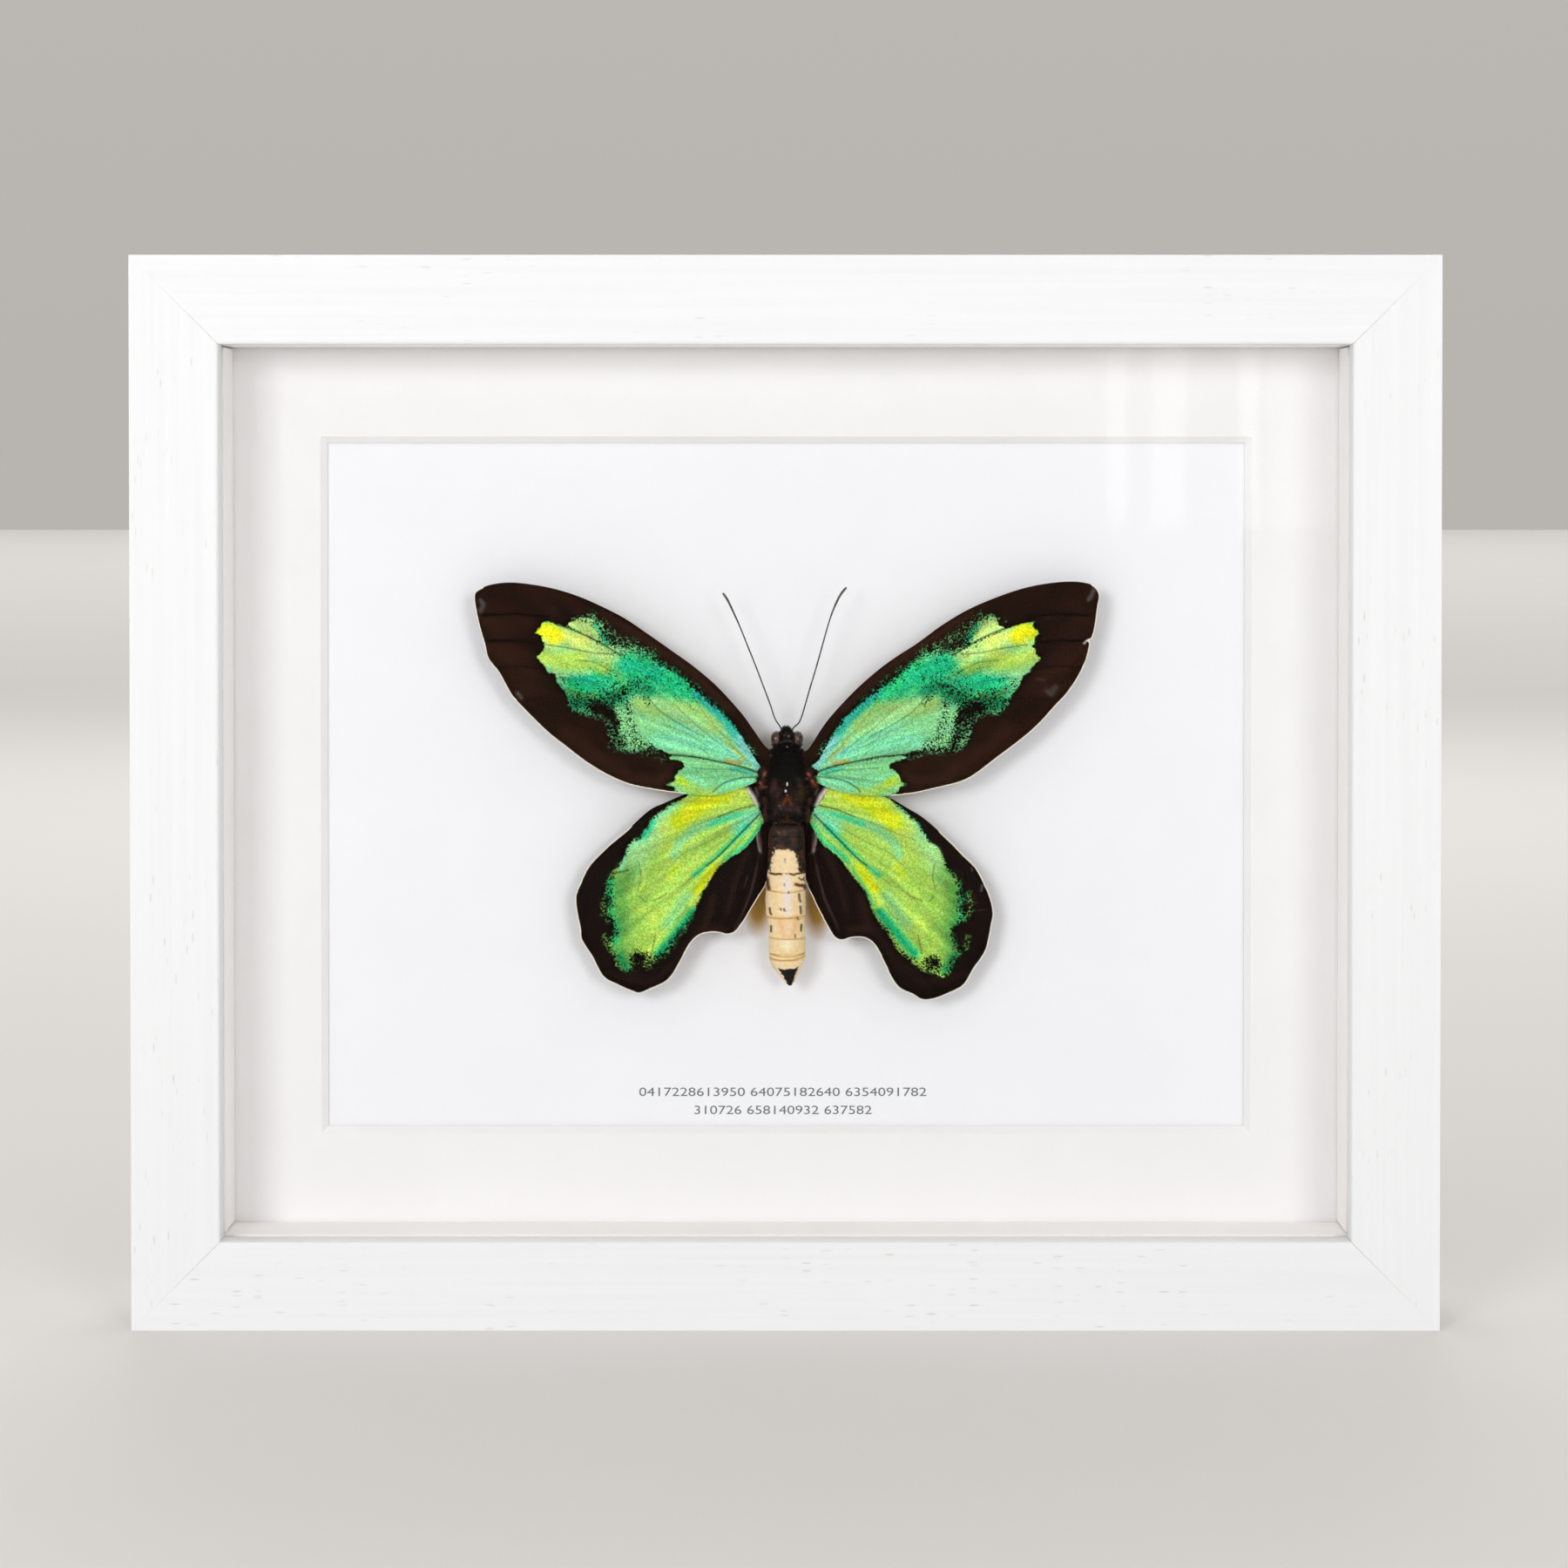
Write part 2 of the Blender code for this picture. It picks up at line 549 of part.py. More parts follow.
def make_hanger(material):
    centre_z = FRAME_HEIGHT - HANGER_DROP
    ear_front = BACK_BOARD_BACK + GAP
    ear_back = ear_front + HANGER_SHEET
    strip_front = ear_front + HANGER_STAND_OFF
    strip_back = strip_front + HANGER_SHEET
    low, high = centre_z - HANGER_HEIGHT / 2, centre_z + HANGER_HEIGHT / 2
    outer = HANGER_LENGTH / 2
    inner = outer - HANGER_EAR
    shape = sharp_outline(hanger_strip(), HANGER_SHEET)
    lay_upright(shape, 0, (strip_front + strip_back) / 2, centre_z)
    hanger = add_object("hanger", mesh_from(shape, "hanger"), material)
    for side, tag in ((-1, "left"), (1, "right")):
        ear = sorted((side * inner, side * outer))
        riser = sorted((side * (inner - HANGER_JOIN), side * (inner + HANGER_SHEET - HANGER_JOIN)))
        ear_low = (ear[0], ear_front, low + HANGER_EAR_INSET)
        ear_high = (ear[1], ear_back, high - HANGER_EAR_INSET)
        riser_low = (riser[0], ear_front + HANGER_JOIN, low + HANGER_JOIN)
        riser_high = (riser[1], strip_back - HANGER_JOIN, high - HANGER_JOIN)
        combine(hanger, box_cutter(f"hanger_riser_{tag}", [(riser_low, riser_high)]), "UNION")
        combine(hanger, box_cutter(f"hanger_ear_{tag}", [(ear_low, ear_high)]), "UNION")
    hole_back = (ear_back + strip_front) / 2
    holes = round_cutter("hanger_holes", rivet_spots(), RIVET_HOLE_RADIUS, ear_front - OVERCUT, hole_back)
    combine(hanger, holes, "DIFFERENCE")


def make_rivets(material):
    """A domed head on a short shank, turned about its own axis."""
    head_base = HANGER_SHEET + 2 * GAP
    dome = [math.radians(90 * i / RIVET_DOME_STEPS) for i in range(RIVET_DOME_STEPS + 1)]
    profile = [
        (RIVET_HEAD_RADIUS * math.sin(a), head_base + RIVET_HEAD_HEIGHT * math.cos(a)) for a in dome
    ]
    profile += [(RIVET_RADIUS, head_base), (RIVET_RADIUS, GAP - RIVET_LENGTH), (0.0, GAP - RIVET_LENGTH)]
    for (x, z), tag in zip(rivet_spots(), ("left", "right")):
        name = f"hanger_rivet_{tag}"
        mesh = bpy.data.meshes.new(name)
        points = [(radius * MM, 0, height * MM) for radius, height in profile]
        edges = [(i, i + 1) for i in range(len(points) - 1)]
        mesh.from_pydata(points, edges, [])
        rivet = add_object(name, mesh, material)
        rivet.location = place(x, BACK_BOARD_BACK, z)
        rivet.rotation_euler = (math.radians(-90), 0, 0)
        screw = rivet.modifiers.new("Turned", "SCREW")
        screw.steps = screw.render_steps = RIVET_SIDES
        screw.use_merge_vertices = True
        screw.merge_threshold = 0.01 * MM


# Specimen


def loft(name, rings):
    """A closed body through oval rings, each (z, left, right, front depth, back depth)."""
    shape = bmesh.new()
    loops = []
    for z, left, right, front, back in rings:
        loop = []
        for side in range(BODY_SIDES):
            angle = 2 * math.pi * side / BODY_SIDES
            x = (left + right) / 2 + (right - left) / 2 * math.cos(angle)
            depth = (front + back) / 2 + (back - front) / 2 * math.sin(angle)
            loop.append(shape.verts.new(on_specimen(x, depth, z)))
        loops.append(loop)
    for upper, lower in zip(loops, loops[1:]):
        for side in range(BODY_SIDES):
            after = (side + 1) % BODY_SIDES
            shape.faces.new((upper[side], upper[after], lower[after], lower[side]))
    shape.faces.new(loops[0])
    shape.faces.new(loops[-1])
    return mesh_from(shape, name)


def grown(rings, by):
    """The same rings with this much added all round, as clearance for what meets the body."""
    bigger = [(z, left - by, right + by, front - by, back + by) for z, left, right, front, back in rings]
    first, last = bigger[0], bigger[-1]
    return [(first[0] + by, *first[1:]), *bigger, (last[0] - by, *last[1:])]


def abdomen_rings():
    """Rings along the abdomen, with a shallow groove at each joint between its segments."""
    heights = set()
    for z, _, _ in ABDOMEN_SILHOUETTE:
        if all(abs(z - joint) > JOINT_MARGIN for joint in ABDOMEN_JOINTS):
            heights.add(z)
    for joint in ABDOMEN_JOINTS:
        heights |= {joint - JOINT_HALF_WIDTH, joint, joint + JOINT_HALF_WIDTH}
    rings = []
    for z in sorted(heights, reverse=True):
        left, right = width_at(z)
        if z in ABDOMEN_JOINTS:
            left, right = left + JOINT_GROOVE, right - JOINT_GROOVE
        half_depth = ABDOMEN_FLATNESS * (right - left) / 2
        rings.append((z, left, right, ABDOMEN_DEPTH - half_depth, ABDOMEN_DEPTH + half_depth))
    return rings


def width_at(z):
    """The abdomen's left and right x at a height, straight between the silhouette's points."""
    for (high, left_1, right_1), (low, left_2, right_2) in zip(ABDOMEN_SILHOUETTE, ABDOMEN_SILHOUETTE[1:]):
        if low <= z <= high:
            share = (high - z) / (high - low)
            return left_1 + (left_2 - left_1) * share, right_1 + (right_2 - right_1) * share
    return ABDOMEN_SILHOUETTE[-1][1:]


def tube(name, points, radii, resolution):
    """A round wire through points in metres, with its own radius in millimetres at each."""
    curve = bpy.data.curves.new(name, "CURVE")
    curve.dimensions = "3D"
    curve.bevel_depth = MM
    curve.bevel_resolution = resolution
    curve.use_fill_caps = True
    spline = curve.splines.new("POLY")
    spline.points.add(len(points) - 1)
    for knot, point, radius in zip(spline.points, points, radii):
        knot.co = (*point, 1)
        knot.radius = radius
    return mesh_from(curve_mesh(curve, WELD * MM), name)


def make_thorax(material):
    """The thorax, with its six legs folded under it and a hole for the pin."""
    thorax = add_object("thorax", loft("thorax", THORAX_RINGS), material)
    for number, (hip, knee, foot) in enumerate(LEG_FOLDS, start=1):
        for side, tag in ((-1, "left"), (1, "right")):
            points = [
                on_specimen(side * LEG_HIP_X, LEG_HIP_DEPTH, hip),
                on_specimen(side * LEG_KNEE_X, LEG_KNEE_DEPTH, knee),
                on_specimen(side * LEG_FOOT_X, LEG_FOOT_DEPTH, foot),
            ]
            name = f"leg_{number}_{tag}"
            leg = add_object(name, tube(name, points, (LEG_HIP_RADIUS, LEG_RADIUS, LEG_RADIUS), 1))
            combine(thorax, as_cutter(leg), "UNION")
    front, back = PIN_TOP_DEPTH - OVERCUT, LEG_FOOT_DEPTH + OVERCUT
    combine(thorax, round_cutter("thorax_pin_hole", pin_spot(), PIN_HOLE_RADIUS, front, back), "DIFFERENCE")


def make_abdomen(material):
    add_object("abdomen", loft("abdomen", abdomen_rings()), material)


def make_head(material):
    """The head ball, the two eyes and the face, joined in one."""
    head = None
    for number, (x, depth, z, *radii) in enumerate(HEAD_BALLS):
        shape = bmesh.new()
        ball = bmesh.ops.create_uvsphere(shape, u_segments=HEAD_SIDES, v_segments=HEAD_TIERS, radius=MM)["verts"]
        bmesh.ops.scale(shape, verts=ball, vec=radii)
        bmesh.ops.translate(shape, verts=ball, vec=on_specimen(x, depth, z))
        if head is None:
            head = add_object("head", mesh_from(shape, "head"), material)
        else:
            name = f"head_ball_{number}"
            combine(head, as_cutter(add_object(name, mesh_from(shape, name))), "UNION")


def make_antenna(name, route, material):
    count = len(route) - 1
    points, radii = [], []
    for number, (x, z) in enumerate(route):
        share = number / count
        depth = ANTENNA_BASE_DEPTH + (ANTENNA_TIP_DEPTH - ANTENNA_BASE_DEPTH) * share
        club = max(0.0, (share - ANTENNA_CLUB_SHARE) / (1 - ANTENNA_CLUB_SHARE))
        points.append(on_specimen(x, depth, z))
        radii.append(ANTENNA_RADIUS + (ANTENNA_CLUB_RADIUS - ANTENNA_RADIUS) * math.sin(club * math.pi / 2))
    add_object(name, tube(name, points, radii, 2), material)


def forewing_depth(x, _z):
    return FOREWING_DEPTH + FOREWING_DROOP * (x / FOREWING_SPAN) ** 2


def hindwing_depth(x, z):
    """Nearly flat, with the inner margin folded back along the abdomen."""
    fold = max(0.0, 1 - (abs(x) - BODY_HALF_WIDTH) / INNER_FOLD_WIDTH)
    along = (INNER_FOLD_START - z) / (INNER_FOLD_START - INNER_FOLD_END)
    hollow = INNER_FOLD_DEPTH * min(fold, 1.0) ** 2 * min(1.0, max(0.0, along))
    return HINDWING_DEPTH + HINDWING_DROOP * (x / HINDWING_SPAN) ** 2 + hollow


def wing_sheet(name, outline, depth_at, cells):
    """A cambered sheet a little larger than the wing, its columns closer together near the body."""
    side = 1 if outline[len(outline) // 2][0] > 0 else -1
    spans = [side * x for x, _ in outline]
    near, far = min(spans) - WING_MARGIN, max(spans) + WING_MARGIN
    heights = [z for _, z in outline]
    low, high = min(heights) - WING_MARGIN, max(heights) + WING_MARGIN
    sheet = bmesh.new()
    bmesh.ops.create_grid(sheet, x_segments=cells[0], y_segments=cells[1], size=0.5)
    for vert in sheet.verts:
        x = side * (near + (far - near) * (vert.co.x + 0.5) ** WING_CROWDING)
        z = low + (high - low) * (vert.co.y + 0.5)
        vert.co = on_specimen(x, depth_at(x, z), z)
    return mesh_from(sheet, name)


def make_wing(name, outline, depth_at, cells, clearances, material):
    """A thin membrane, trimmed to the wing's outline and clear of the body at its root."""
    wing = add_object(name, wing_sheet(name, outline, depth_at, cells), material)
    membrane = wing.modifiers.new("Membrane", "SOLIDIFY")
    membrane.thickness = WING_THICKNESS * MM
    membrane.offset = 0
    prism = smooth_outline(name + "_outline", outline, WING_TRIM_DEPTH)
    lay_upright(prism, SPECIMEN_X, HINDWING_DEPTH, SPECIMEN_Z)
    trim = as_cutter(add_object(name + "_outline", mesh_from(prism, name + "_outline")))
    combine(wing, trim, "INTERSECT")
    for clearance in clearances:
        combine(wing, clearance, "DIFFERENCE")


def body_room(name, rings):
    """A cutter that keeps the wings clear of the body."""
    return as_cutter(add_object(name, loft(name, grown(rings, BODY_CLEARANCE))))


def make_wings(material):
    thorax_room = body_room("thorax_room", THORAX_RINGS)
    abdomen_room = body_room("abdomen_room", abdomen_rings())
    make_wing("forewing_left", FOREWING_LEFT, forewing_depth, FOREWING_CELLS, [thorax_room], material)
    make_wing("forewing_right", FOREWING_RIGHT, forewing_depth, FOREWING_CELLS, [thorax_room], material)
    rooms = [thorax_room, abdomen_room]
    make_wing("hindwing_left", HINDWING_LEFT, hindwing_depth, HINDWING_CELLS, rooms, material)
    make_wing("hindwing_right", HINDWING_RIGHT, hindwing_depth, HINDWING_CELLS, rooms, material)


def make_pin(material):
    """The pin is clipped just above the thorax and its point is buried in the backing board."""
    depths = (PIN_TOP_DEPTH, PIN_END_DEPTH - PIN_POINT, PIN_END_DEPTH)
    points = [on_specimen(PIN_X, depth, PIN_Z) for depth in depths]
    radii = (PIN_RADIUS, PIN_RADIUS, PIN_TIP_RADIUS)
    add_object("mounting_pin", tube("mounting_pin", points, radii, 2), material)


def make_frame():
    white_paint = finish("painted_timber", "F4F3F1", 0.45)
    white_card = finish("white_card", "F3F2F0", 0.8)
    steel = finish("zinc_plated_steel", "B4B6B8", 0.4, metallic=1.0)
    make_rails(white_paint)
    make_glass(finish("picture_glass", "F2F6F5", 0.03, alpha=0.25))
    make_spacers(white_card)
    make_mount_board(white_card)
    make_backing_board(finish("foam_board", "F7F7F8", 0.75))
    make_back_board(finish("fibreboard", "8A6A48", 0.85))
    make_tabs(steel)
    make_hanger(steel)
    make_rivets(steel)


def make_specimen():
    dark_fur = finish("dark_body_hair", "1C1310", 0.9)
    make_thorax(dark_fur)
    make_head(dark_fur)
    make_abdomen(finish("cream_abdomen", "E6D3A8", 0.75))
    antenna = finish("dark_antenna", "4A4846", 0.6)
    make_antenna("antenna_left", ANTENNA_LEFT, antenna)
    make_antenna("antenna_right", ANTENNA_RIGHT, antenna)
    make_wings(finish("scaled_wing", "3FAE6E", 0.5))
    make_pin(finish("stainless_pin", "C8C9CA", 0.25, metallic=1.0))


clear_scene()
PARTS = new_collection("framed_butterfly_specimen")
CUTTERS = new_collection("cutters")
make_frame()
make_specimen()
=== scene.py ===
"""Looks of a framed butterfly: painted timber, glass, boards, fittings, wings, body and a studio stage.

Lengths are in millimetres unless a property has a unit. A depth is measured back from the front of the
moulding. The specimen's own x runs outwards from its midline and its z up from the middle of its thorax.
"""

import math

import bmesh
import bpy
import numpy as np
from mathutils import Matrix, Vector, geometry, noise


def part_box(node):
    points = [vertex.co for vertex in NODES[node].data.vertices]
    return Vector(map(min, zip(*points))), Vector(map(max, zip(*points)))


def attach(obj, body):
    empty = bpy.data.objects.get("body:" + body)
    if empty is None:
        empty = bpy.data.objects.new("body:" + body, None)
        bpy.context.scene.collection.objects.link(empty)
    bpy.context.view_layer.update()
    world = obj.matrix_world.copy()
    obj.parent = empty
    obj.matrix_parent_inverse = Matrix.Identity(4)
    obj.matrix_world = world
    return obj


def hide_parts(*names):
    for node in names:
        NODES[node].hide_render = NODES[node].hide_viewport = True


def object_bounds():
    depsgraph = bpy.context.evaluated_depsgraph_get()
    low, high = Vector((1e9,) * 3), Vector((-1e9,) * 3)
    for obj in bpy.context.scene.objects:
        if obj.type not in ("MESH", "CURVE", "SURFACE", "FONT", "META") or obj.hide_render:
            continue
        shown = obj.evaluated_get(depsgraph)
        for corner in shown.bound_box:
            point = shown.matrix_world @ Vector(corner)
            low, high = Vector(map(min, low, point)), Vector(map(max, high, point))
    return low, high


bl_info = {
    "name": "Framed Butterfly",
    "version": (1, 0, 0),
    "blender": (4, 5, 0),
    "location": "View3D > Sidebar > Butterfly",
    "description": "Builds the visible surfaces of a framed butterfly round its construction model",
    "category": "Object",
}

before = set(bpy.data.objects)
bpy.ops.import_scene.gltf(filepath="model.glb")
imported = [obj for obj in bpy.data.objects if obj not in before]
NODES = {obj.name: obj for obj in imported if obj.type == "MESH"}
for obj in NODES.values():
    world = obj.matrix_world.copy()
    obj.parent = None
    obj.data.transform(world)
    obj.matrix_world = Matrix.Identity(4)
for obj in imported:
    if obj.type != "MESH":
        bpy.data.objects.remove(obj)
CAD_LOW, CAD_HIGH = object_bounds()

MM = 0.001
FRONT = CAD_LOW.y
SEED = 7
SPECIMEN_X = 0.2
SPECIMEN_Z = 115.2

# Places read from the construction model
GLASS_LOW, GLASS_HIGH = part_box("glass_pane")
PIN_LOW, PIN_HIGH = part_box("mounting_pin")
BACKING_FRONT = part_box("backing_board")[0].y
LIP_BACK = GLASS_LOW.y - 0.05 * MM

# How deep the wings lie, how far their tips droop back and where their tips are
FOREWING_REST, HINDWING_REST, DROOP = 16.2, 17.2, 1.5
FOREWING_TIP, HINDWING_TIP = 68.0, 46.0

# Wing outlines, root first, the costal edge outwards and the trailing edge back
FOREWING_OUTLINES = {
    "left": [
        (3.2, 7.2), (5, 9.3), (7.5, 12.9), (10, 16.3), (15, 21.8), (20, 26.1), (25, 29.7),
        (30, 33.2), (35, 36.6), (40, 39.2), (45, 41.4), (50, 43), (55, 44), (60, 44.5),
        (64, 44.1), (66.8, 43.1), (68, 41.9), (67.8, 39), (67, 35.2), (65.8, 31), (65, 27.9),
        (62.5, 24.6), (60, 20.1), (56.5, 16.2), (52.2, 12), (48.4, 9), (43.5, 5.3), (38.6, 2.4),
        (33.9, 0.5), (29, -0.5), (24.2, -1.2), (19.3, -1.7), (14.6, -1.6), (9.7, -0.1), (6.5, 1.2),
        (3.2, 2.4),
    ],
    "right": [
        (3.2, 6.8), (5, 8.7), (7.5, 12.6), (10, 15.9), (15, 21.2), (20, 25.6), (24, 28.5),
        (28.5, 31.4), (34, 35.4), (40, 38.9), (47, 41.8), (52.5, 43.5), (57.5, 44.4), (61.5, 44.7),
        (64.5, 44.5), (66.9, 43.7), (68.1, 41.7), (67.7, 39), (67.2, 35.2), (66.5, 32.5),
        (65.5, 31.9), (66, 31.2), (65.3, 27.9), (64.3, 25.6), (62.8, 22.9), (61, 20.3), (58.3, 17.4),
        (54.6, 13.4), (50.5, 9.9), (45.6, 6.2),
        (40.8, 2.6), (37.5, 1), (33.1, -0.1), (28.2, -1.2), (23.5, -1.8), (19.2, -1.9), (14.2, -1.6),
        (9.5, -0.3), (6.5, 1), (3.2, 2.2),
    ],
}
HINDWING_OUTLINES = {
    "left": [
        (3, 1), (8, 1.8), (15, 1.4), (22.2, -1.6), (26.5, -3.5), (30, -5.2), (35, -9.7),
        (38.5, -12.6), (42, -16), (43.7, -18.2), (45, -21.1), (46.1, -24), (45.8, -27.6),
        (45.1, -31), (44.8, -33.5), (42.5, -37.2), (40.1, -41.5), (37, -43.3), (33.8, -44.7),
        (32, -45.1), (29.5, -44.1), (26.7, -42.8), (25, -41.2), (23.3, -38.3), (21, -34.2),
        (19.1, -32.4), (17, -31.8), (15, -31.8), (13, -32.2), (11.2, -31.6), (9.4, -29.3),
        (7.9, -26.8), (6.3, -24.2), (4.6, -21.4), (3.2, -17), (3, -9),
    ],
    "right": [
        (3, 0.9), (8, 1.6), (15, 0.8), (22, -2.2), (26, -4.5), (30, -7), (35, -11.4),
        (38.5, -15), (41.2, -17.7), (42.9, -20.8), (44.4, -24.3), (45.1, -27.6), (44.7, -30.2),
        (44.1, -33.5), (43.2, -36.4), (40.8, -39.8), (39.2, -42.6), (37.8, -44), (35, -45.3),
        (32, -46.4), (29.4, -46.5), (27.5, -45.4), (24.6, -44), (22.7, -41.5), (21.2, -38.3),
        (19.2, -34.6), (17.3, -33.1), (15.5, -32.8), (13.7, -33), (12, -33.5), (10.4, -32.8),
        (9, -30.6), (7.3, -27.5), (5.7, -24.2), (4.3, -21.2), (3.2, -17), (3, -9),
    ],
}

# Green fields of the wings: where the bright scales lie
FOREWING_FIELDS = {
    "left": [
        [
            (5.5, 4.5), (6.5, 5.5), (8, 8), (10, 11.3), (12, 14), (15, 16.8), (17.5, 19),
            (20, 21), (22, 23.2), (25, 25), (27.5, 26.4), (30, 28.6), (33, 30), (36, 30.2),
            (38.5, 31.2), (41, 31.8), (45, 33.7), (50, 35.4), (52, 36), (53.2, 35.8), (53.4, 35),
            (54.7, 33.6), (53.3, 33), (53.3, 32), (52.6, 31.3), (52.9, 30.7), (52.8, 29.8), (54.4, 28.2),
            (53, 26.7), (52.2, 25.4), (51.8, 24.9), (50.5, 24.8), (50.2, 23.6), (49.6, 22.3), (48.2, 21),
            (47.3, 19.7), (46.6, 17.9), (46.3, 17.2), (44.5, 16.7), (42, 16), (40, 15.8), (38.5, 14.5),
            (38.3, 12), (37.5, 9.5), (36, 8.6), (33, 8.3), (30, 9.2), (27.5, 8.2), (25, 7),
            (20, 6.6), (15, 5.6), (12, 5), (9, 4.2), (6.5, 3.3),
        ],
        [
            (47.7, 35.2), (47.4, 36), (46.6, 35.9), (46, 36.5), (44.9, 36.5), (44, 36.7), (42.5, 36.3),
            (41.9, 35.7), (41, 35.4), (40.2, 34.5), (40, 33), (39.6, 31.8), (38.5, 31), (41, 31.7),
            (45, 33.7),
        ],
        [
            (25.5, 6.5), (25.5, 6.1), (23, 5.8), (22.5, 5.3), (22.3, 4.2), (23.5, 3.4), (24.2, 2.5),
            (24.4, 1.2), (26, 0.6), (24.3, 0), (24.3, -0.8), (22.8, -1.3), (22.6, -3), (7, -2),
            (5.6, 1.8), (6.5, 3.2), (9, 4.1), (12, 4.9), (15, 5.5), (20, 6.5), (25, 6.9),
        ],
    ],
    "right": [
        [
            (5.5, 4.6), (7, 5.8), (8, 7.5), (9, 9.5), (10.5, 12), (12.5, 14.8), (15, 17),
            (17.5, 19), (20, 21), (22.5, 22.8), (25, 24.6), (27.5, 26.8), (30, 28.5), (32.5, 29.8),
            (34.5, 29), (37.5, 29.6), (40, 31), (43, 32.4), (47, 34), (50, 35.2), (53.8, 36),
            (53.4, 35), (54.8, 33.7), (54.6, 33.1), (53.8, 32.5), (53.9, 31.2), (53.2, 30.7), (54, 30),
            (54.1, 29), (55.3, 28), (54.2, 27), (53.2, 25.9), (52.8, 25), (51.5, 24.3), (50.8, 22.7),
            (50.2, 21.5), (49.5, 20.8), (48, 18.8), (46.7, 17.4), (45.5, 16.5), (43.8, 16.9), (41.5, 16),
            (40, 14), (39.5, 11), (38, 8.8), (35, 8.7), (31, 8.6), (28, 8), (25.5, 7.2),
            (20, 6.4), (15, 5.5), (10, 4.6), (7, 3.3),
        ],
        [
            (47.5, 34.4), (46.8, 35), (46, 35.3), (45.5, 36.3), (44.8, 37.1), (43.8, 36.8), (43.3, 36),
            (42, 35.8), (41, 34.7), (40.3, 33.3), (39.8, 32), (39.5, 31), (43, 32.4),
        ],
        [
            (26, 6.6), (26, 6.3), (24, 5.8), (22.5, 5.2), (22.3, 4.2), (24, 3.2), (24.6, 2),
            (25, 1), (26, 0.6), (24.5, 0), (24, -1.2), (21.5, -1.8), (21, -3.2), (9, -2.6),
            (5.8, 1.6), (7, 3.2), (10, 4.5), (15, 5.4), (20, 6.3), (25, 7),
        ],
    ],
}
HINDWING_FIELDS = {
    "left": [
        [
            (9.5, 0.6), (20.5, -0.9), (22.5, -2.7), (25, -4), (27.5, -5.6), (29.5, -7.3), (30.2, -9),
            (31, -9.9), (32, -11.3), (33.5, -11.8), (34.5, -12.8), (34.8, -14), (35.3, -15.5),
            (36.5, -17), (37.6, -18.8), (38.4, -20), (38.8, -21.5), (39, -23), (38, -25),
            (38.8, -27.5), (37.5, -29), (37, -31), (37.3, -32.5), (38.6, -34.2), (38, -36),
            (37, -37), (37, -38.8), (35.8, -39.8), (34.7, -40.2), (33.8, -39.4), (33, -38),
            (31, -37.4), (29.5, -37.3), (27.5, -36.5), (26, -35), (24.7, -33), (23.8, -31.6),
            (22, -30), (20.5, -28), (20, -26.5), (19.2, -24.8), (18.6, -23), (17.6, -21.8),
            (17, -20.5), (16, -19), (15, -17.5), (13.5, -16.5), (12.3, -15.3), (10.5, -14.5),
            (8.8, -13), (7.5, -11.5), (6.3, -10), (5.2, -8), (5, -7), (6, -5), (6.2, -4),
            (7, -3.8),
        ],
    ],
    "right": [
        [
            (9.5, 0.4), (20, -1.2), (22, -2.6), (24.5, -4.5), (27, -6.8), (28.5, -8), (29.3, -9.5),
            (30.5, -11), (31, -12), (32.3, -12.8), (33.5, -14), (34, -15.5), (34.6, -17.5),
            (35.8, -19), (37, -20.5), (37.5, -22), (37.3, -23.5), (38, -25), (37.6, -26.5),
            (38.3, -29), (36.5, -30), (35.5, -31), (35.8, -33), (36.6, -35), (37.3, -36.5),
            (36.5, -37.5), (35.5, -39.5), (35, -41), (33.8, -41.6), (32.6, -40.6), (30.5, -40.2),
            (29, -39.3), (28.5, -39), (27.3, -38), (26, -36.8), (24.5, -35.5), (23.3, -33.8),
            (22.3, -31.5), (20.8, -29.8), (19.8, -28.8), (19, -27.3), (18.4, -26), (17.8, -24.5),
            (17.3, -23), (16.3, -21.5), (15, -20.2), (14, -18.8), (13, -17.5), (12, -16),
            (10.8, -14.8), (9.5, -13.8), (8, -12.7), (6.8, -11), (5.8, -9.2), (5.2, -7.8), (5, -7),
            (6.2, -4.6), (7.2, -3.6),
        ],
    ],
}

# Veins: half width, darkness, route
FOREWING_VEINS = [
    (0.34, 1, [(25.5, 7.1), (20, 6.6), (15, 5.6), (12, 5), (9, 4.2), (6.5, 3.3)]),
    (0.30, 0.95, [(50, 35.4), (45, 33.6), (41, 31.6), (38.5, 30.2), (36, 28.7)]),
    (0.24, 0.62, [(52.3, 31), (47, 30.2), (42, 29.2), (38, 29)]),
    (0.26, 0.75, [(6.5, 2.3), (10, 2), (13, 1.2), (15, 0), (16, -1)]),
    (0.22, 0.45, [(20, 4.2), (16, 3.9), (12, 3.8), (8.5, 3)]),
    (0.22, 0.45, [(37.5, 25), (40, 26.3), (42, 27.2), (46, 27.6)]),
    (0.28, 0.40, [(50.3, 23.6), (46, 23.5), (41, 22.6), (36.5, 21.6), (32.5, 22.6)]),
    (0.24, 0.55, [(30.5, 20), (27.5, 16.6), (23, 13.6), (18, 11)]),
    (0.20, 0.38, [(24, 17.5), (19.5, 13.4), (15, 9.8), (12, 7.4)]),
    (0.18, 0.30, [(27, 13.8), (22, 11.8), (17, 8.8)]),
    (0.18, 0.42, [(12.6, 9.5), (10.2, 7.4), (8.4, 5.6)]),
    (0.18, 0.28, [(20, 19), (17.5, 15.5), (14.5, 12), (12, 9.6)]),
    (0.18, 0.30, [(19, 8.6), (17.5, 7.6), (16.8, 6.6)]),
    (0.20, 0.45, [(33, 22.4), (31.2, 23.6), (29.5, 24)]),
]
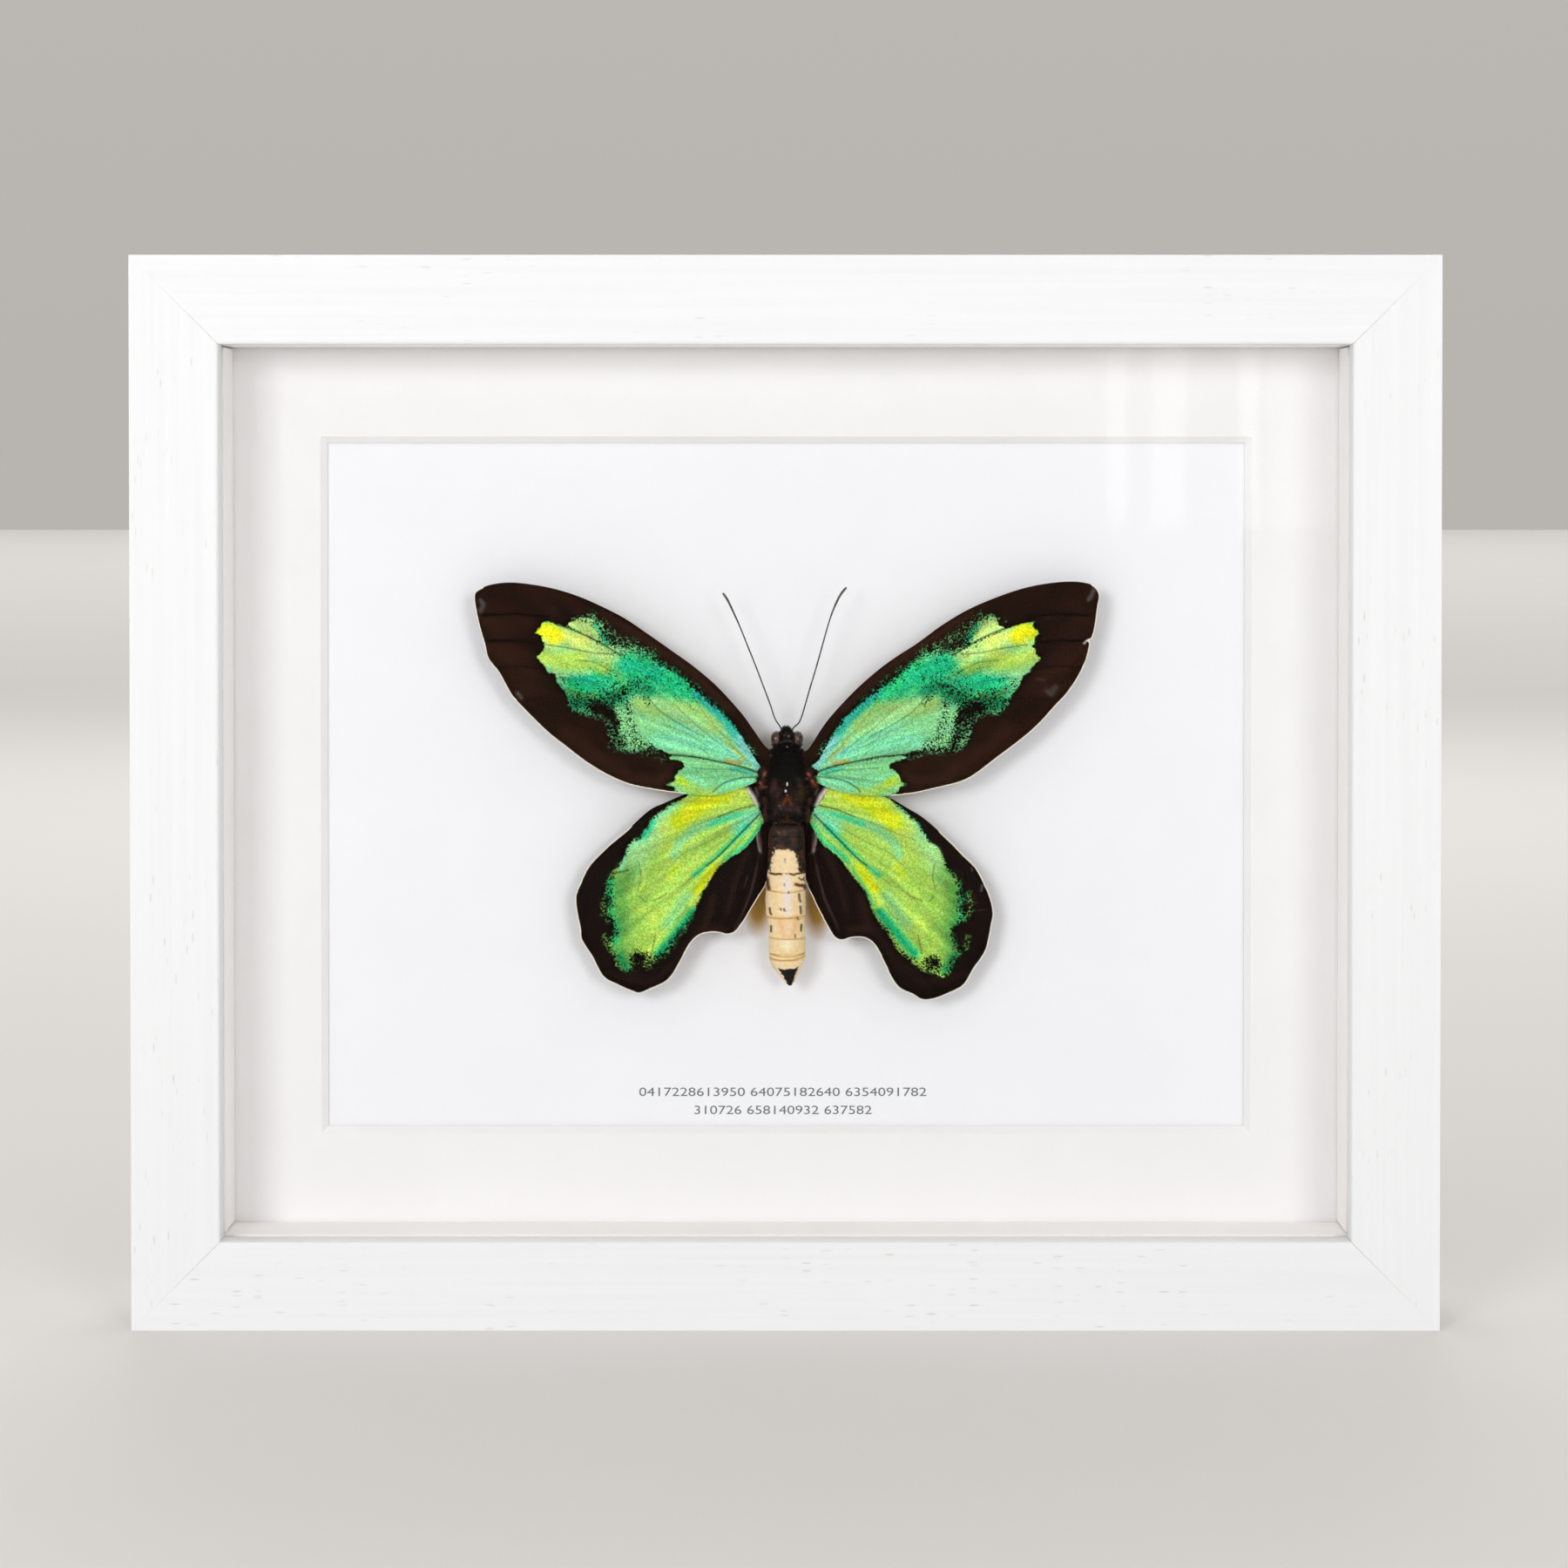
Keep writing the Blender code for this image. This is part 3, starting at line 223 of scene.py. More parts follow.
HINDWING_VEINS = [
    (0.30, 0.95, [(6, -6), (10, -10.1), (15, -15.2), (17.5, -17.2)]),
    (0.24, 0.40, [(17.5, -17.2), (20, -19.2), (23, -21.8)]),
    (0.24, 0.75, [(7, -4), (11, -5), (15, -6.6)]),
    (0.22, 0.35, [(15, -6.6), (20, -8.4), (24, -10.2), (28, -11.6)]),
    (0.26, 0.55, [(26.3, -23.4), (27.8, -24.3), (29.5, -24.9)]),
    (0.24, 0.50, [(32.1, -24), (31.4, -24.6), (30.8, -25.2)]),
    (0.22, 0.40, [(32.3, -16.6), (31.8, -19.5), (32.4, -22.6)]),
    (0.26, 0.60, [(28.6, -32.4), (29, -34.2), (29.5, -36.4)]),
    (0.26, 0.70, [(38, -19.3), (36.3, -18.7), (34.6, -18.2)]),
    (0.22, 0.50, [(38.8, -26.6), (37, -26.2)]),
    (0.20, 0.35, [(21.6, -25.8), (22.6, -27.6), (24.2, -29)]),
    (0.18, 0.30, [(12, -9), (17, -11.8), (22.5, -14.6), (26, -18)]),
]

# Colour strokes on the bright scales: colour, reach, strength, route
SCALE_COLOURS = {
    "sea_green": "88D28E", "light_sea_green": "A8DE94", "mint": "84E2AE", "sky": "82CFC8",
    "turquoise": "2FB8A0", "teal": "1CC68C", "emerald": "1CBE78", "deep_emerald": "0C9058",
    "lime": "A9CF5A", "yellow_green": "C8E05C", "pale_yellow": "E4F078", "yellow": "FFF500",
    "gold": "D8DE00", "olive": "A6C468", "amber": "C68A34", "moss": "6C8C3C", "leaf": "6CC46C",
    "fern": "6EAA50", "pine": "478A3E", "spring": "7AC888", "lemon": "D2F08C",
}
FOREWING_STROKES = [
    ("emerald", 6.5, 1, [(45, 21.5), (38, 24), (32, 25.5), (27, 24.2), (22, 21), (18, 18)]),
    ("deep_emerald", 3.2, 0.8, [(46, 18.5), (41, 18), (36, 20), (33, 21.5), (30, 20.5)]),
    ("teal", 2.4, 1, [(46, 23.4), (41, 23.9), (36, 24.6), (34.5, 27.5)]),
    ("teal", 2.6, 0.7, [(34, 26.5), (30, 25.3), (26, 23.2)]),
    ("leaf", 2.4, 0.8, [(40, 25.2), (37.5, 25), (36, 24)]),
    ("sea_green", 5, 1, [(30, 15.5), (24, 15.5), (18, 14), (14, 11)]),
    ("olive", 3.2, 0.75, [(32, 18.2), (29, 17), (25, 17.3), (19.5, 17.2), (15.5, 13.5)]),
    ("light_sea_green", 1.8, 0.8, [(29, 18.8), (24, 16.2), (19, 12.8)]),
    ("mint", 3.6, 1, [(28, 10.2), (22, 9.6), (16, 8.6), (11.5, 6.6)]),
    ("mint", 1.2, 0.7, [(24, 13.6), (19, 11.6), (14, 9.2)]),
    ("turquoise", 2, 1, [(19.5, 20.6), (16, 17.4), (13, 14.4), (9.8, 9.8)]),
    ("sky", 1.8, 1, [(10.4, 10.4), (8.4, 7.2), (6.2, 4.7)]),
    ("sky", 1.4, 0.6, [(12.5, 8.4), (9.2, 5.9)]),
    ("olive", 1, 0.9, [(13.5, 10.4), (11.2, 8.2), (9.4, 6.2)]),
    ("amber", 0.9, 0.75, [(13.2, 5.6), (11.6, 5.4), (10.2, 5.2)]),
    ("lemon", 4, 0.9, [(39, 28.4), (41, 29.5), (45, 31)]),
    ("yellow_green", 3.4, 0.9, [(53.5, 28.5), (50, 27.6), (45, 28)]),
    ("lime", 2.2, 0.9, [(49, 26.6), (44, 26.4), (39.5, 26)]),
    ("light_sea_green", 1.2, 0.7, [(50.5, 25), (46, 24.6), (43, 25)]),
    ("pale_yellow", 3.2, 0.95, [(51.5, 32.2), (48, 32.8), (44, 32)]),
    ("yellow", 2.9, 1, [(53.4, 33.8), (51.6, 34.2), (50.4, 33)]),
    ("lemon", 3.2, 1, [(46.5, 35.4), (43.5, 34.8), (41.5, 33.6)]),
    ("teal", 1.3, 0.75, [(41.4, 35.2), (40.2, 33.6), (39.2, 31.6)]),
    ("moss", 1.4, 0.5, [(47.5, 21), (44.5, 19.6), (42, 20)]),
    ("spring", 3.5, 1, [(24, 4.6), (18, 3), (14, 1.5), (10, 2.6)]),
    ("lime", 2.2, 0.9, [(24.5, 1.5), (22, 0.6), (19, -1.2), (16.5, -1.2)]),
    ("gold", 1, 0.45, [(23.4, 1.8), (21.8, 0.8)]),
    ("mint", 1.5, 0.9, [(14, 0.6), (11, 1.2), (8, 1.2)]),
    ("mint", 1.2, 0.7, [(21, 2), (18.5, 1.4), (17.5, 0)]),
    ("turquoise", 0.9, 0.65, [(12, 4), (9.5, 3.6), (7.5, 3)]),
]
HINDWING_STROKES = [
    ("lime", 9, 0.6, [(20, -10), (28, -20), (30, -32)]),
    ("light_sea_green", 4.4, 0.9, [(26, -6.5), (31, -12.5), (34, -18)]),
    ("fern", 4.2, 0.95, [(34.8, -19), (36.6, -24), (35.5, -31), (36.2, -36)]),
    ("yellow_green", 5, 0.9, [(10, -1.5), (15, -2.5), (20, -5), (25, -9)]),
    ("gold", 2.7, 1, [(13.5, -1.6), (17.5, -3.2), (21, -5.7), (23.5, -7.6)]),
    ("yellow_green", 2.4, 0.6, [(26, -13), (24, -17), (25, -19.5)]),
    ("gold", 1.3, 0.3, [(24, -17.5), (25.5, -19.5)]),
    ("sea_green", 1.9, 0.95, [(10, -6.2), (15, -7.4), (20, -9.3), (23.4, -12.2), (24.5, -15)]),
    ("teal", 1.1, 0.6, [(8, -5.6), (12, -6.4), (16.5, -8.2)]),
    ("mint", 3, 1, [(5.6, -5.2), (8, -6.8), (10.5, -9)]),
    ("teal", 1.2, 0.7, [(8.5, -8.5), (13, -13), (17.5, -17.3), (20, -19.2)]),
    ("teal", 1.3, 0.7, [(5.6, -8.4), (8, -12), (12, -15), (14.5, -17)]),
    ("yellow_green", 2.2, 0.9, [(14.6, -16.4), (17, -18.8), (19, -22), (20.4, -25)]),
    ("gold", 1.5, 1, [(15.8, -17.7), (17.6, -20), (19.2, -22.4)]),
    ("sea_green", 2.4, 0.7, [(22, -24), (24, -27), (26, -30)]),
    ("yellow_green", 3.2, 0.7, [(31, -27), (30.2, -31), (30, -35)]),
    ("mint", 1.3, 0.75, [(24, -3.8), (28, -6.6), (30.5, -10.5), (34.4, -13.6), (36.2, -17.6)]),
    ("teal", 1.5, 0.8, [(29.4, -7.8), (31.4, -10.8)]),
    ("emerald", 1.7, 0.85, [(38.4, -20.6), (38.6, -24), (38.2, -28), (37, -31), (37.4, -34)]),
    ("emerald", 1.9, 0.9, [(28, -36.5), (25, -33.2), (22.5, -30), (20.6, -27.6)]),
    ("deep_emerald", 1.2, 0.7, [(27.5, -36.2), (24.6, -32.6), (21.8, -29.4), (20, -27)]),
    ("emerald", 0.6, 0.6, [(19, -26), (17, -22), (14.4, -18)]),
    ("pine", 2.6, 0.9, [(37, -35.6), (36, -38), (34.8, -39.6)]),
    ("deep_emerald", 1.6, 0.6, [(36.5, -37), (34.5, -40.4)]),
    ("moss", 1.8, 0.45, [(34.6, -21), (35, -22.4)]),
    ("pine", 2.6, 0.45, [(36.6, -22), (37, -26), (36, -32)]),
    ("fern", 3, 0.35, [(31, -25), (32, -30), (30, -34)]),
]

# How thickly the bright scales lie: level they are held down to, reach, route
FOREWING_THINNING = [
    (0.80, 8, [(47, 23), (40, 25), (34, 25.5), (28, 22.5), (22, 19.5)]),
    (0.66, 5, [(48.5, 21.5), (44, 19.5), (39.5, 20), (36, 22), (32, 22.3)]),
    (0.42, 3.4, [(46, 18.4), (42, 18), (39, 18.6), (36, 20.2)]),
    (0.05, 2.9, [(41.5, 17.2), (38.5, 16.2), (37.4, 14)]),
    (0.22, 3.4, [(40, 15), (37.8, 12), (36.5, 10)]),
    (0.55, 3, [(35, 18), (34, 14), (33, 10), (31, 9.5)]),
    (0.74, 3, [(40.5, 30.6), (36, 28.6), (30, 27), (24, 23.2), (19, 19.6)]),
    (0.60, 1.5, [(33.5, 21.8), (31.5, 20.2), (30, 18)]),
]
HINDWING_THINNING = {
    "left": [(0.04, 3.2, [(32.6, -37.3), (32.2, -37.5)]), (0.45, 1.6, [(39, -22), (38.8, -26)])],
    "right": [(0.04, 3.2, [(32, -38.3), (31.6, -38.3)]), (0.45, 1.6, [(38, -23), (38, -27)])],
}
# Edges that break up into single scales: how far, along which route
FOREWING_DUSTY = [
    (4, [(42, 36.6), (38, 32.5), (33, 30.2)]),
    (1.8, [(30, 28.6), (25, 25)]),
    (0.8, [(20, 21), (15, 16.8), (11, 12.4)]),
    (3.4, [(46, 17.2), (40, 15.6), (38, 12), (36, 8.8), (32, 8.6)]),
]
HINDWING_DUSTY = [
    (2.2, [(38.4, -20.5), (38.8, -26), (37.4, -31), (37.4, -36)]),
    (2.4, [(34, -39), (30, -37.5)]),
    (1.7, [(31, -38), (26, -35), (22, -30)]),
    (0.4, [(19.4, -25.4), (16.4, -19.6)]),
    (0.8, [(25, -4.2), (30, -9), (35, -15), (38, -20)]),
]
# Stray scales outside the fields: level, reach, route
FOREWING_DUST = [
    (0.26, 2.6, [(42, 37), (39.5, 35), (37, 32.5), (33, 31), (29, 28.8)]),
    (0.22, 1.6, [(27, 27), (22, 23.8), (18, 20), (14, 16.4)]),
    (0.20, 2.2, [(38, 9), (34, 8), (30, 7.6), (27, 6.6)]),
    (0.24, 1, [(47.5, 36.2), (45, 37), (42.6, 36.8)]),
    (0.25, 1.3, [(7, 7.2), (8.5, 9.8)]),
]
HINDWING_DUST = [
    (0.28, 1.8, [(39.6, -23.5), (40, -27), (38.6, -29)]),
    (0.30, 1.6, [(39.6, -32.8), (39, -35.2)]),
    (0.30, 1.5, [(31, -38.4), (30.6, -39.4), (28.5, -37.8)]),
    (0.30, 1.4, [(26.5, -36.6), (24, -33), (22, -30.8)]),
]

# Tone of the dark scales, with a painted sheen at the forewing's tip: colour, reach, strength, route
DARK_COLOURS = {
    "soot": "0B0503", "umber": "21120A", "jet": "130906", "walnut": "341E15", "fold": "5E4A44",
    "scuff": "66646C", "pearl": "DCD0C8", "rose": "9A7468",
}
FOREWING_TONES = [
    # Brown scales at the tip, with a painted warm sheen laid over them
    ("walnut", 6, 0.5, [(64, 36), (60, 28), (56, 22)]),
    ("walnut", 3, 0.7, [(36, 3.6), (42, 7), (48, 12)]),
    ("soot", 0.6, 0.8, [(66, 37.4), (59, 37.7), (52, 37)]),
    ("soot", 0.6, 0.8, [(65.6, 31.8), (60, 31.9), (54, 31.4)]),
    ("soot", 0.5, 0.5, [(64, 26), (58, 26.4), (53, 25.6)]),
    ("soot", 0.5, 0.4, [(57, 19), (52, 19.6), (48, 18.6)]),
    ("walnut", 1.2, 0.7, [(40, 38), (30, 31.6), (20, 24.6), (12, 16.8)]),
    ("walnut", 2, 0.7, [(35, 2.2), (28, 1.2), (26, 3)]),
]
HINDWING_TONES = [
    ("walnut", 1.6, 0.35, [(19, -31), (24, -38), (30, -43), (38, -41)]),
    ("fold", 0.4, 0.4, [(6.5, -17), (8, -24), (11.3, -31)]),
    ("fold", 0.3, 0.3, [(5.6, -12), (6.6, -19), (9.4, -27)]),
    ("walnut", 1.6, 0.5, [(14, -31), (18, -31), (16, -24)]),
    ("walnut", 1.2, 0.5, [(8.5, -14), (11, -20), (13, -27)]),
    ("pearl", 0.35, 0.6, [(6.6, -10), (6.3, -12.4), (5.9, -14.2)]),
    ("rose", 0.5, 0.5, [(6.2, -9), (5.6, -14.5)]),
    ("pearl", 1.1, 1, [(8.6, -0.6), (7.4, -2.2), (6.6, -3.9)]),
    ("rose", 0.6, 0.6, [(6.7, -0.4), (6.1, -2)]),
]
# Damage that only one wing has
SCUFFS = {
    "forewing_left": [
        ("scuff", 1, 0.6, [(66.6, 40.6), (66, 39.6), (66.6, 38.4)]),
        ("scuff", 0.8, 0.6, [(58.6, 20.4), (57.8, 19.4)]),
        ("scuff", 0.3, 0.4, [(50.6, 38.9), (50.2, 38.7)]),
    ],
    "forewing_right": [
        ("scuff", 0.9, 0.6, [(66.9, 43), (66.3, 41.6), (65.7, 40.8)]),
        ("scuff", 1.2, 0.4, [(58.4, 21.6), (57.6, 20.2), (56.8, 20.8)]),
        ("scuff", 0.5, 0.3, [(54.5, 23.6), (56.2, 23.2)]),
        ("pearl", 0.3, 1, [(66.2, 31.9), (65.2, 31.8), (64.7, 31.2)]),
        ("scuff", 0.3, 0.4, [(57, 37), (56.6, 36.6)]),
        ("scuff", 0.25, 0.4, [(38.3, 8), (38, 7.6)]),
    ],
    "hindwing_left": [("fold", 0.3, 0.5, [(8.5, -19.4), (9.3, -22)])],
    "hindwing_right": [
        ("scuff", 0.5, 0.7, [(42.4, -22.8), (42.6, -21.6)]),
        ("scuff", 0.35, 0.6, [(40.2, -17.8), (40.5, -18.4)]),
        ("fold", 0.25, 0.6, [(38.6, -25.6), (41.5, -25.3)]),
        ("fold", 0.25, 0.5, [(41.5, -27.1), (43.5, -26.8)]),
    ],
}


# Ochre painted shadows on the foam board, coloured as if lit by the wings' golden undersides, on the
# specimen's x and z, with their half width and half height
PAINTED_GOLDEN_SHADOWS = ((-6.4, -26, 3.6, 8.5), (6.6, -26.5, 3.6, 8.5))
# Where the pale fringe ends, as a share of the wing's outline, and how wide it is
FRINGE_END, FRINGE_WIDTH = 0.86, 0.32


# Painting with strokes, as arrays of points


def smooth_path(points, step, closed=False):
    """A Catmull-Rom curve through given points, with a point about every step."""
    knots = np.asarray(points, float)
    count = len(knots)
    spans = count if closed else count - 1
    path = []
    for i in range(spans):
        if closed:
            a, b, c, d = (knots[(i + k) % count] for k in (-1, 0, 1, 2))
        else:
            a, b, c, d = (knots[min(max(i + k, 0), count - 1)] for k in (-1, 0, 1, 2))
        pieces = max(1, round(float(np.linalg.norm(c - b)) / step))
        for t in np.arange(pieces) / pieces:
            square, cube = 2 * a - 5 * b + 4 * c - d, 3 * b - a - 3 * c + d
            path.append(0.5 * (2 * b + (c - a) * t + square * t**2 + cube * t**3))
    if not closed:
        path.append(knots[-1])
    return np.array(path)


def distance_to(points, path, closed=False):
    """Distance from each point to the nearest place on a path."""
    path = np.asarray(path, float)
    ends = np.roll(path, -1, axis=0) if closed else path[1:]
    best = np.full(len(points), np.inf)
    for a, b in zip(path, ends):
        along = b - a
        length = max(float(along @ along), 1e-12)
        share = np.clip((points - a) @ along / length, 0, 1)
        gap = points - a - share[:, None] * along
        best = np.minimum(best, np.hypot(gap[:, 0], gap[:, 1]))
    return best


def inside(points, outline):
    x, z = points[:, 0], points[:, 1]
    hit = np.zeros(len(points), bool)
    outline = np.asarray(outline, float)
    for (x1, z1), (x2, z2) in zip(outline, np.roll(outline, -1, axis=0)):
        if z1 != z2:
            crosses = (z1 > z) != (z2 > z)
            hit ^= crosses & (x < x1 + (z - z1) * (x2 - x1) / (z2 - z1))
    return hit


def depth_inside(points, outline):
    """Distance to an outline, positive inside it."""
    distance = distance_to(points, outline, closed=True)
    return np.where(inside(points, outline), distance, -distance)


def fade(distance, reach):
    """A soft brush: 1 on the route and 0 past its reach."""
    share = np.clip(1 - distance / reach, 0, 1)
    return share * share * (3 - 2 * share)


def hex_colour(code):
    return np.array([int(code[i : i + 2], 16) / 255 for i in (0, 2, 4)])


def to_linear(colour):
    """The one change from sRGB to linear light, for a colour or an array of them."""
    colour = np.clip(colour, 0, 1)
    return np.where(colour <= 0.04045, colour / 12.92, ((colour + 0.055) / 1.055) ** 2.4)


def paint(points, base, strokes, palette):
    """Brush strokes over a base, which is a palette colour's name or one colour for each point."""
    colours = np.tile(hex_colour(palette[base]), (len(points), 1)) if isinstance(base, str) else base
    for name, reach, strength, route in strokes:
        cover = (strength * fade(distance_to(points, route), reach))[:, None]
        colours = colours * (1 - cover) + hex_colour(palette[name]) * cover
    return colours


# Materials


def linear(code):
    return (*(float(c) for c in to_linear(hex_colour(code))), 1.0)


def fill(node, inputs):
    """Fills a node's inputs, each from a value or by a link from another node's output."""
    for socket, value in inputs.items():
        if isinstance(value, bpy.types.NodeSocket):
            node.id_data.links.new(value, node.inputs[socket])
        else:
            node.inputs[socket].default_value = value


def add_node(tree, kind, inputs=None, **settings):
    """Adds a shader node, with its settings, and fills its inputs."""
    node = tree.nodes.new(kind)
    for name, value in settings.items():
        setattr(node, name, value)
    fill(node, inputs or {})
    return node


def new_material(name):
    """A fresh material, its node tree and its Principled shader."""
    material = bpy.data.materials.new(name)
    material.use_nodes = True
    return material, material.node_tree, material.node_tree.nodes["Principled BSDF"]


def set_finish(shader, **inputs):
    """Fills the shader's inputs, named with an underscore for each space."""
    fill(shader, {name.replace("_", " "): value for name, value in inputs.items()})


def mix(tree, share, first, second, blend="MIX"):
    """Mixes two colours and returns the colour output."""
    inputs = {0: share, 6: first, 7: second}
    return add_node(tree, "ShaderNodeMix", inputs, data_type="RGBA", blend_type=blend).outputs[2]


def ramp(tree, source, low, high, to_low=0.0, to_high=1.0):
    node = add_node(tree, "ShaderNodeMapRange", {0: source, 1: low, 2: high, 3: to_low, 4: to_high})
    return node.outputs[0]


def maths(tree, operation, first, second=0.0):
    return add_node(tree, "ShaderNodeMath", {0: first, 1: second}, operation=operation).outputs[0]


def object_mapping(tree, scale=(1, 1, 1)):
    """Object coordinates, with a pattern's size set per axis in repeats a metre."""
    coordinates = add_node(tree, "ShaderNodeTexCoord").outputs["Object"]
    inputs = {"Vector": coordinates, "Scale": scale}
    return add_node(tree, "ShaderNodeMapping", inputs).outputs[0]


def noise_texture(tree, vector, scale, detail=2.0, roughness=0.5):
    inputs = {"Vector": vector, "Scale": scale, "Detail": detail, "Roughness": roughness}
    return add_node(tree, "ShaderNodeTexNoise", inputs).outputs["Fac"]


def bump(tree, shader, height, distance, strength=1.0):
    node = add_node(tree, "ShaderNodeBump", {"Strength": strength, "Distance": distance, "Height": height})
    set_finish(shader, Normal=node.outputs[0])


def painted_ash(name, grain_axis):
    """Open-grained ash moulding under white lacquer: satin, its pores left as faint grey dashes."""
    material, tree, shader = new_material(name)
    along, across = 1 / 0.0045, 1 / 0.0006  # a pore is about 1.5 mm long, drawn twice its real width
    pore_scale = tuple(along if axis == grain_axis else across for axis in range(3))
    figure_scale = tuple(12.0 if axis == grain_axis else 700.0 for axis in range(3))
    pores = add_node(tree, "ShaderNodeTexVoronoi", {"Vector": object_mapping(tree, pore_scale), "Scale": 1.0})
    dash = ramp(tree, pores.outputs["Distance"], 0.32, 0.14)
    lot = add_node(tree, "ShaderNodeSeparateColor", {0: pores.outputs["Color"]}).outputs[0]
    picked = ramp(tree, lot, 0.80, 0.92)
    figure = noise_texture(tree, object_mapping(tree, figure_scale), 1.0, 4.0, 0.6)
    grouped = ramp(tree, noise_texture(tree, object_mapping(tree), 38.0, 2.0), 0.42, 0.62)
    pore = maths(tree, "MULTIPLY", maths(tree, "MULTIPLY", dash, picked), grouped)
    lacquer = mix(tree, ramp(tree, figure, 0.35, 0.7), linear("ECEEF0"), linear("E9EBED"))
    colour = mix(tree, maths(tree, "MULTIPLY", pore, 0.36), lacquer, linear("B0AAA3"))
    set_finish(shader, Base_Color=colour, Roughness=ramp(tree, figure, 0.3, 0.8, 0.42, 0.56))
    height = maths(tree, "SUBTRACT", maths(tree, "MULTIPLY", figure, 0.5), pore)
    bump(tree, shader, height, 0.00006)
    return material


def picture_glass():
    """Coated picture glass, 2 mm: clear straight through, with a weak hard reflection at a glance."""
    material, tree, shader = new_material("coated_picture_glass")
    tree.nodes.remove(shader)
    clear = add_node(tree, "ShaderNodeBsdfTransparent", {"Color": linear("FDFEFE")}).outputs[0]
    mirror = add_node(tree, "ShaderNodeBsdfGlossy", {"Color": linear("FFFFFF"), "Roughness": 0.02}).outputs[0]
    angle = add_node(tree, "ShaderNodeFresnel", {"IOR": 1.08}).outputs[0]
    both = add_node(tree, "ShaderNodeMixShader", {0: angle, 1: clear, 2: mirror}).outputs[0]
    tree.links.new(both, tree.nodes["Material Output"].inputs["Surface"])
    return material


def card(name, code, fibre_code, roughness=0.85):
    """Matt cotton card: a soft tooth, with faint fibres under the surface."""
    material, tree, shader = new_material(name)
    # A tooth of about half a millimetre
    tooth = noise_texture(tree, object_mapping(tree), 1 / 0.0005, 3.0, 0.6)
    cloud = noise_texture(tree, object_mapping(tree), 60.0, 2.0)
    blotch = mix(tree, ramp(tree, cloud, 0.35, 0.7, 0.0, 0.35), linear(code), linear(fibre_code))
    colour = mix(tree, ramp(tree, tooth, 0.45, 0.75, 0.0, 0.3), blotch, linear(fibre_code))
    set_finish(shader, Base_Color=colour, Roughness=roughness)
    bump(tree, shader, tooth, 0.00002)
    return material


def foam_board():
    """White paper-faced foam board, with a painted ochre shadow on both sides of the abdomen."""
    material = card("white_foam_board", "F7F5F9", "F3F1F5")
    tree = material.node_tree
    socket = tree.nodes["Principled BSDF"].inputs["Base Color"]
    colour = socket.links[0].from_socket
    coordinates = add_node(tree, "ShaderNodeTexCoord").outputs["Object"]
    # Each soft ellipse is a painted shadow, ochre as if lit by the golden undersides
    for x, z, wide, tall in PAINTED_GOLDEN_SHADOWS:
        scale = Vector((1000 / wide, 0, 1000 / tall))
        spot = -scale * on_specimen(x, 0, z)
        inputs = {"Vector": coordinates, "Scale": scale, "Location": spot}
        spread = add_node(tree, "ShaderNodeMapping", inputs).outputs[0]
        away = add_node(tree, "ShaderNodeVectorMath", {0: spread}, operation="LENGTH").outputs["Value"]
        colour = mix(tree, ramp(tree, away, 1.0, 0.45), colour, linear("CFA04C"))
    tree.links.new(colour, socket)
    return material


def fibreboard():
    """Pressed brown hardboard: mottled fibres in every direction, matt on its rough side."""
    material, tree, shader = new_material("pressed_hardboard")
    fibres = noise_texture(tree, object_mapping(tree, (1.0, 1.0, 2.6)), 420.0, 6.0, 0.7)
    crossed = noise_texture(tree, object_mapping(tree, (2.6, 1.0, 1.0)), 420.0, 6.0, 0.7)
    cloud = noise_texture(tree, object_mapping(tree), 26.0, 3.0)
    weave = maths(tree, "MULTIPLY", maths(tree, "ADD", fibres, crossed), 0.5)
    colour = mix(tree, ramp(tree, weave, 0.38, 0.62), linear("6F4E30"), linear("A98356"))
    colour = mix(tree, ramp(tree, cloud, 0.3, 0.7, 0.0, 0.4), colour, linear("8A6743"))
    set_finish(shader, Base_Color=colour, Roughness=0.88)
    bump(tree, shader, weave, 0.00015)
    return material


def zinc_plate():
    """Pressed steel with bright zinc plating: grey, brushed one way and a little blotched."""
    material, tree, shader = new_material("zinc_plated_steel")
    brushing = noise_texture(tree, object_mapping(tree, (40.0, 900.0, 900.0)), 1.0, 3.0)
    blotch = noise_texture(tree, object_mapping(tree), 160.0, 3.0)
    colour = mix(tree, ramp(tree, blotch, 0.3, 0.7), linear("A9ACAE"), linear("C6C8C8"))
    set_finish(shader, Base_Color=colour, Roughness=ramp(tree, brushing, 0.3, 0.7, 0.28, 0.46), Metallic=1.0)
    bump(tree, shader, brushing, 0.00001)
    return material


def attribute(tree, name, output="Fac"):
    return add_node(tree, "ShaderNodeAttribute", attribute_name=name).outputs[output]


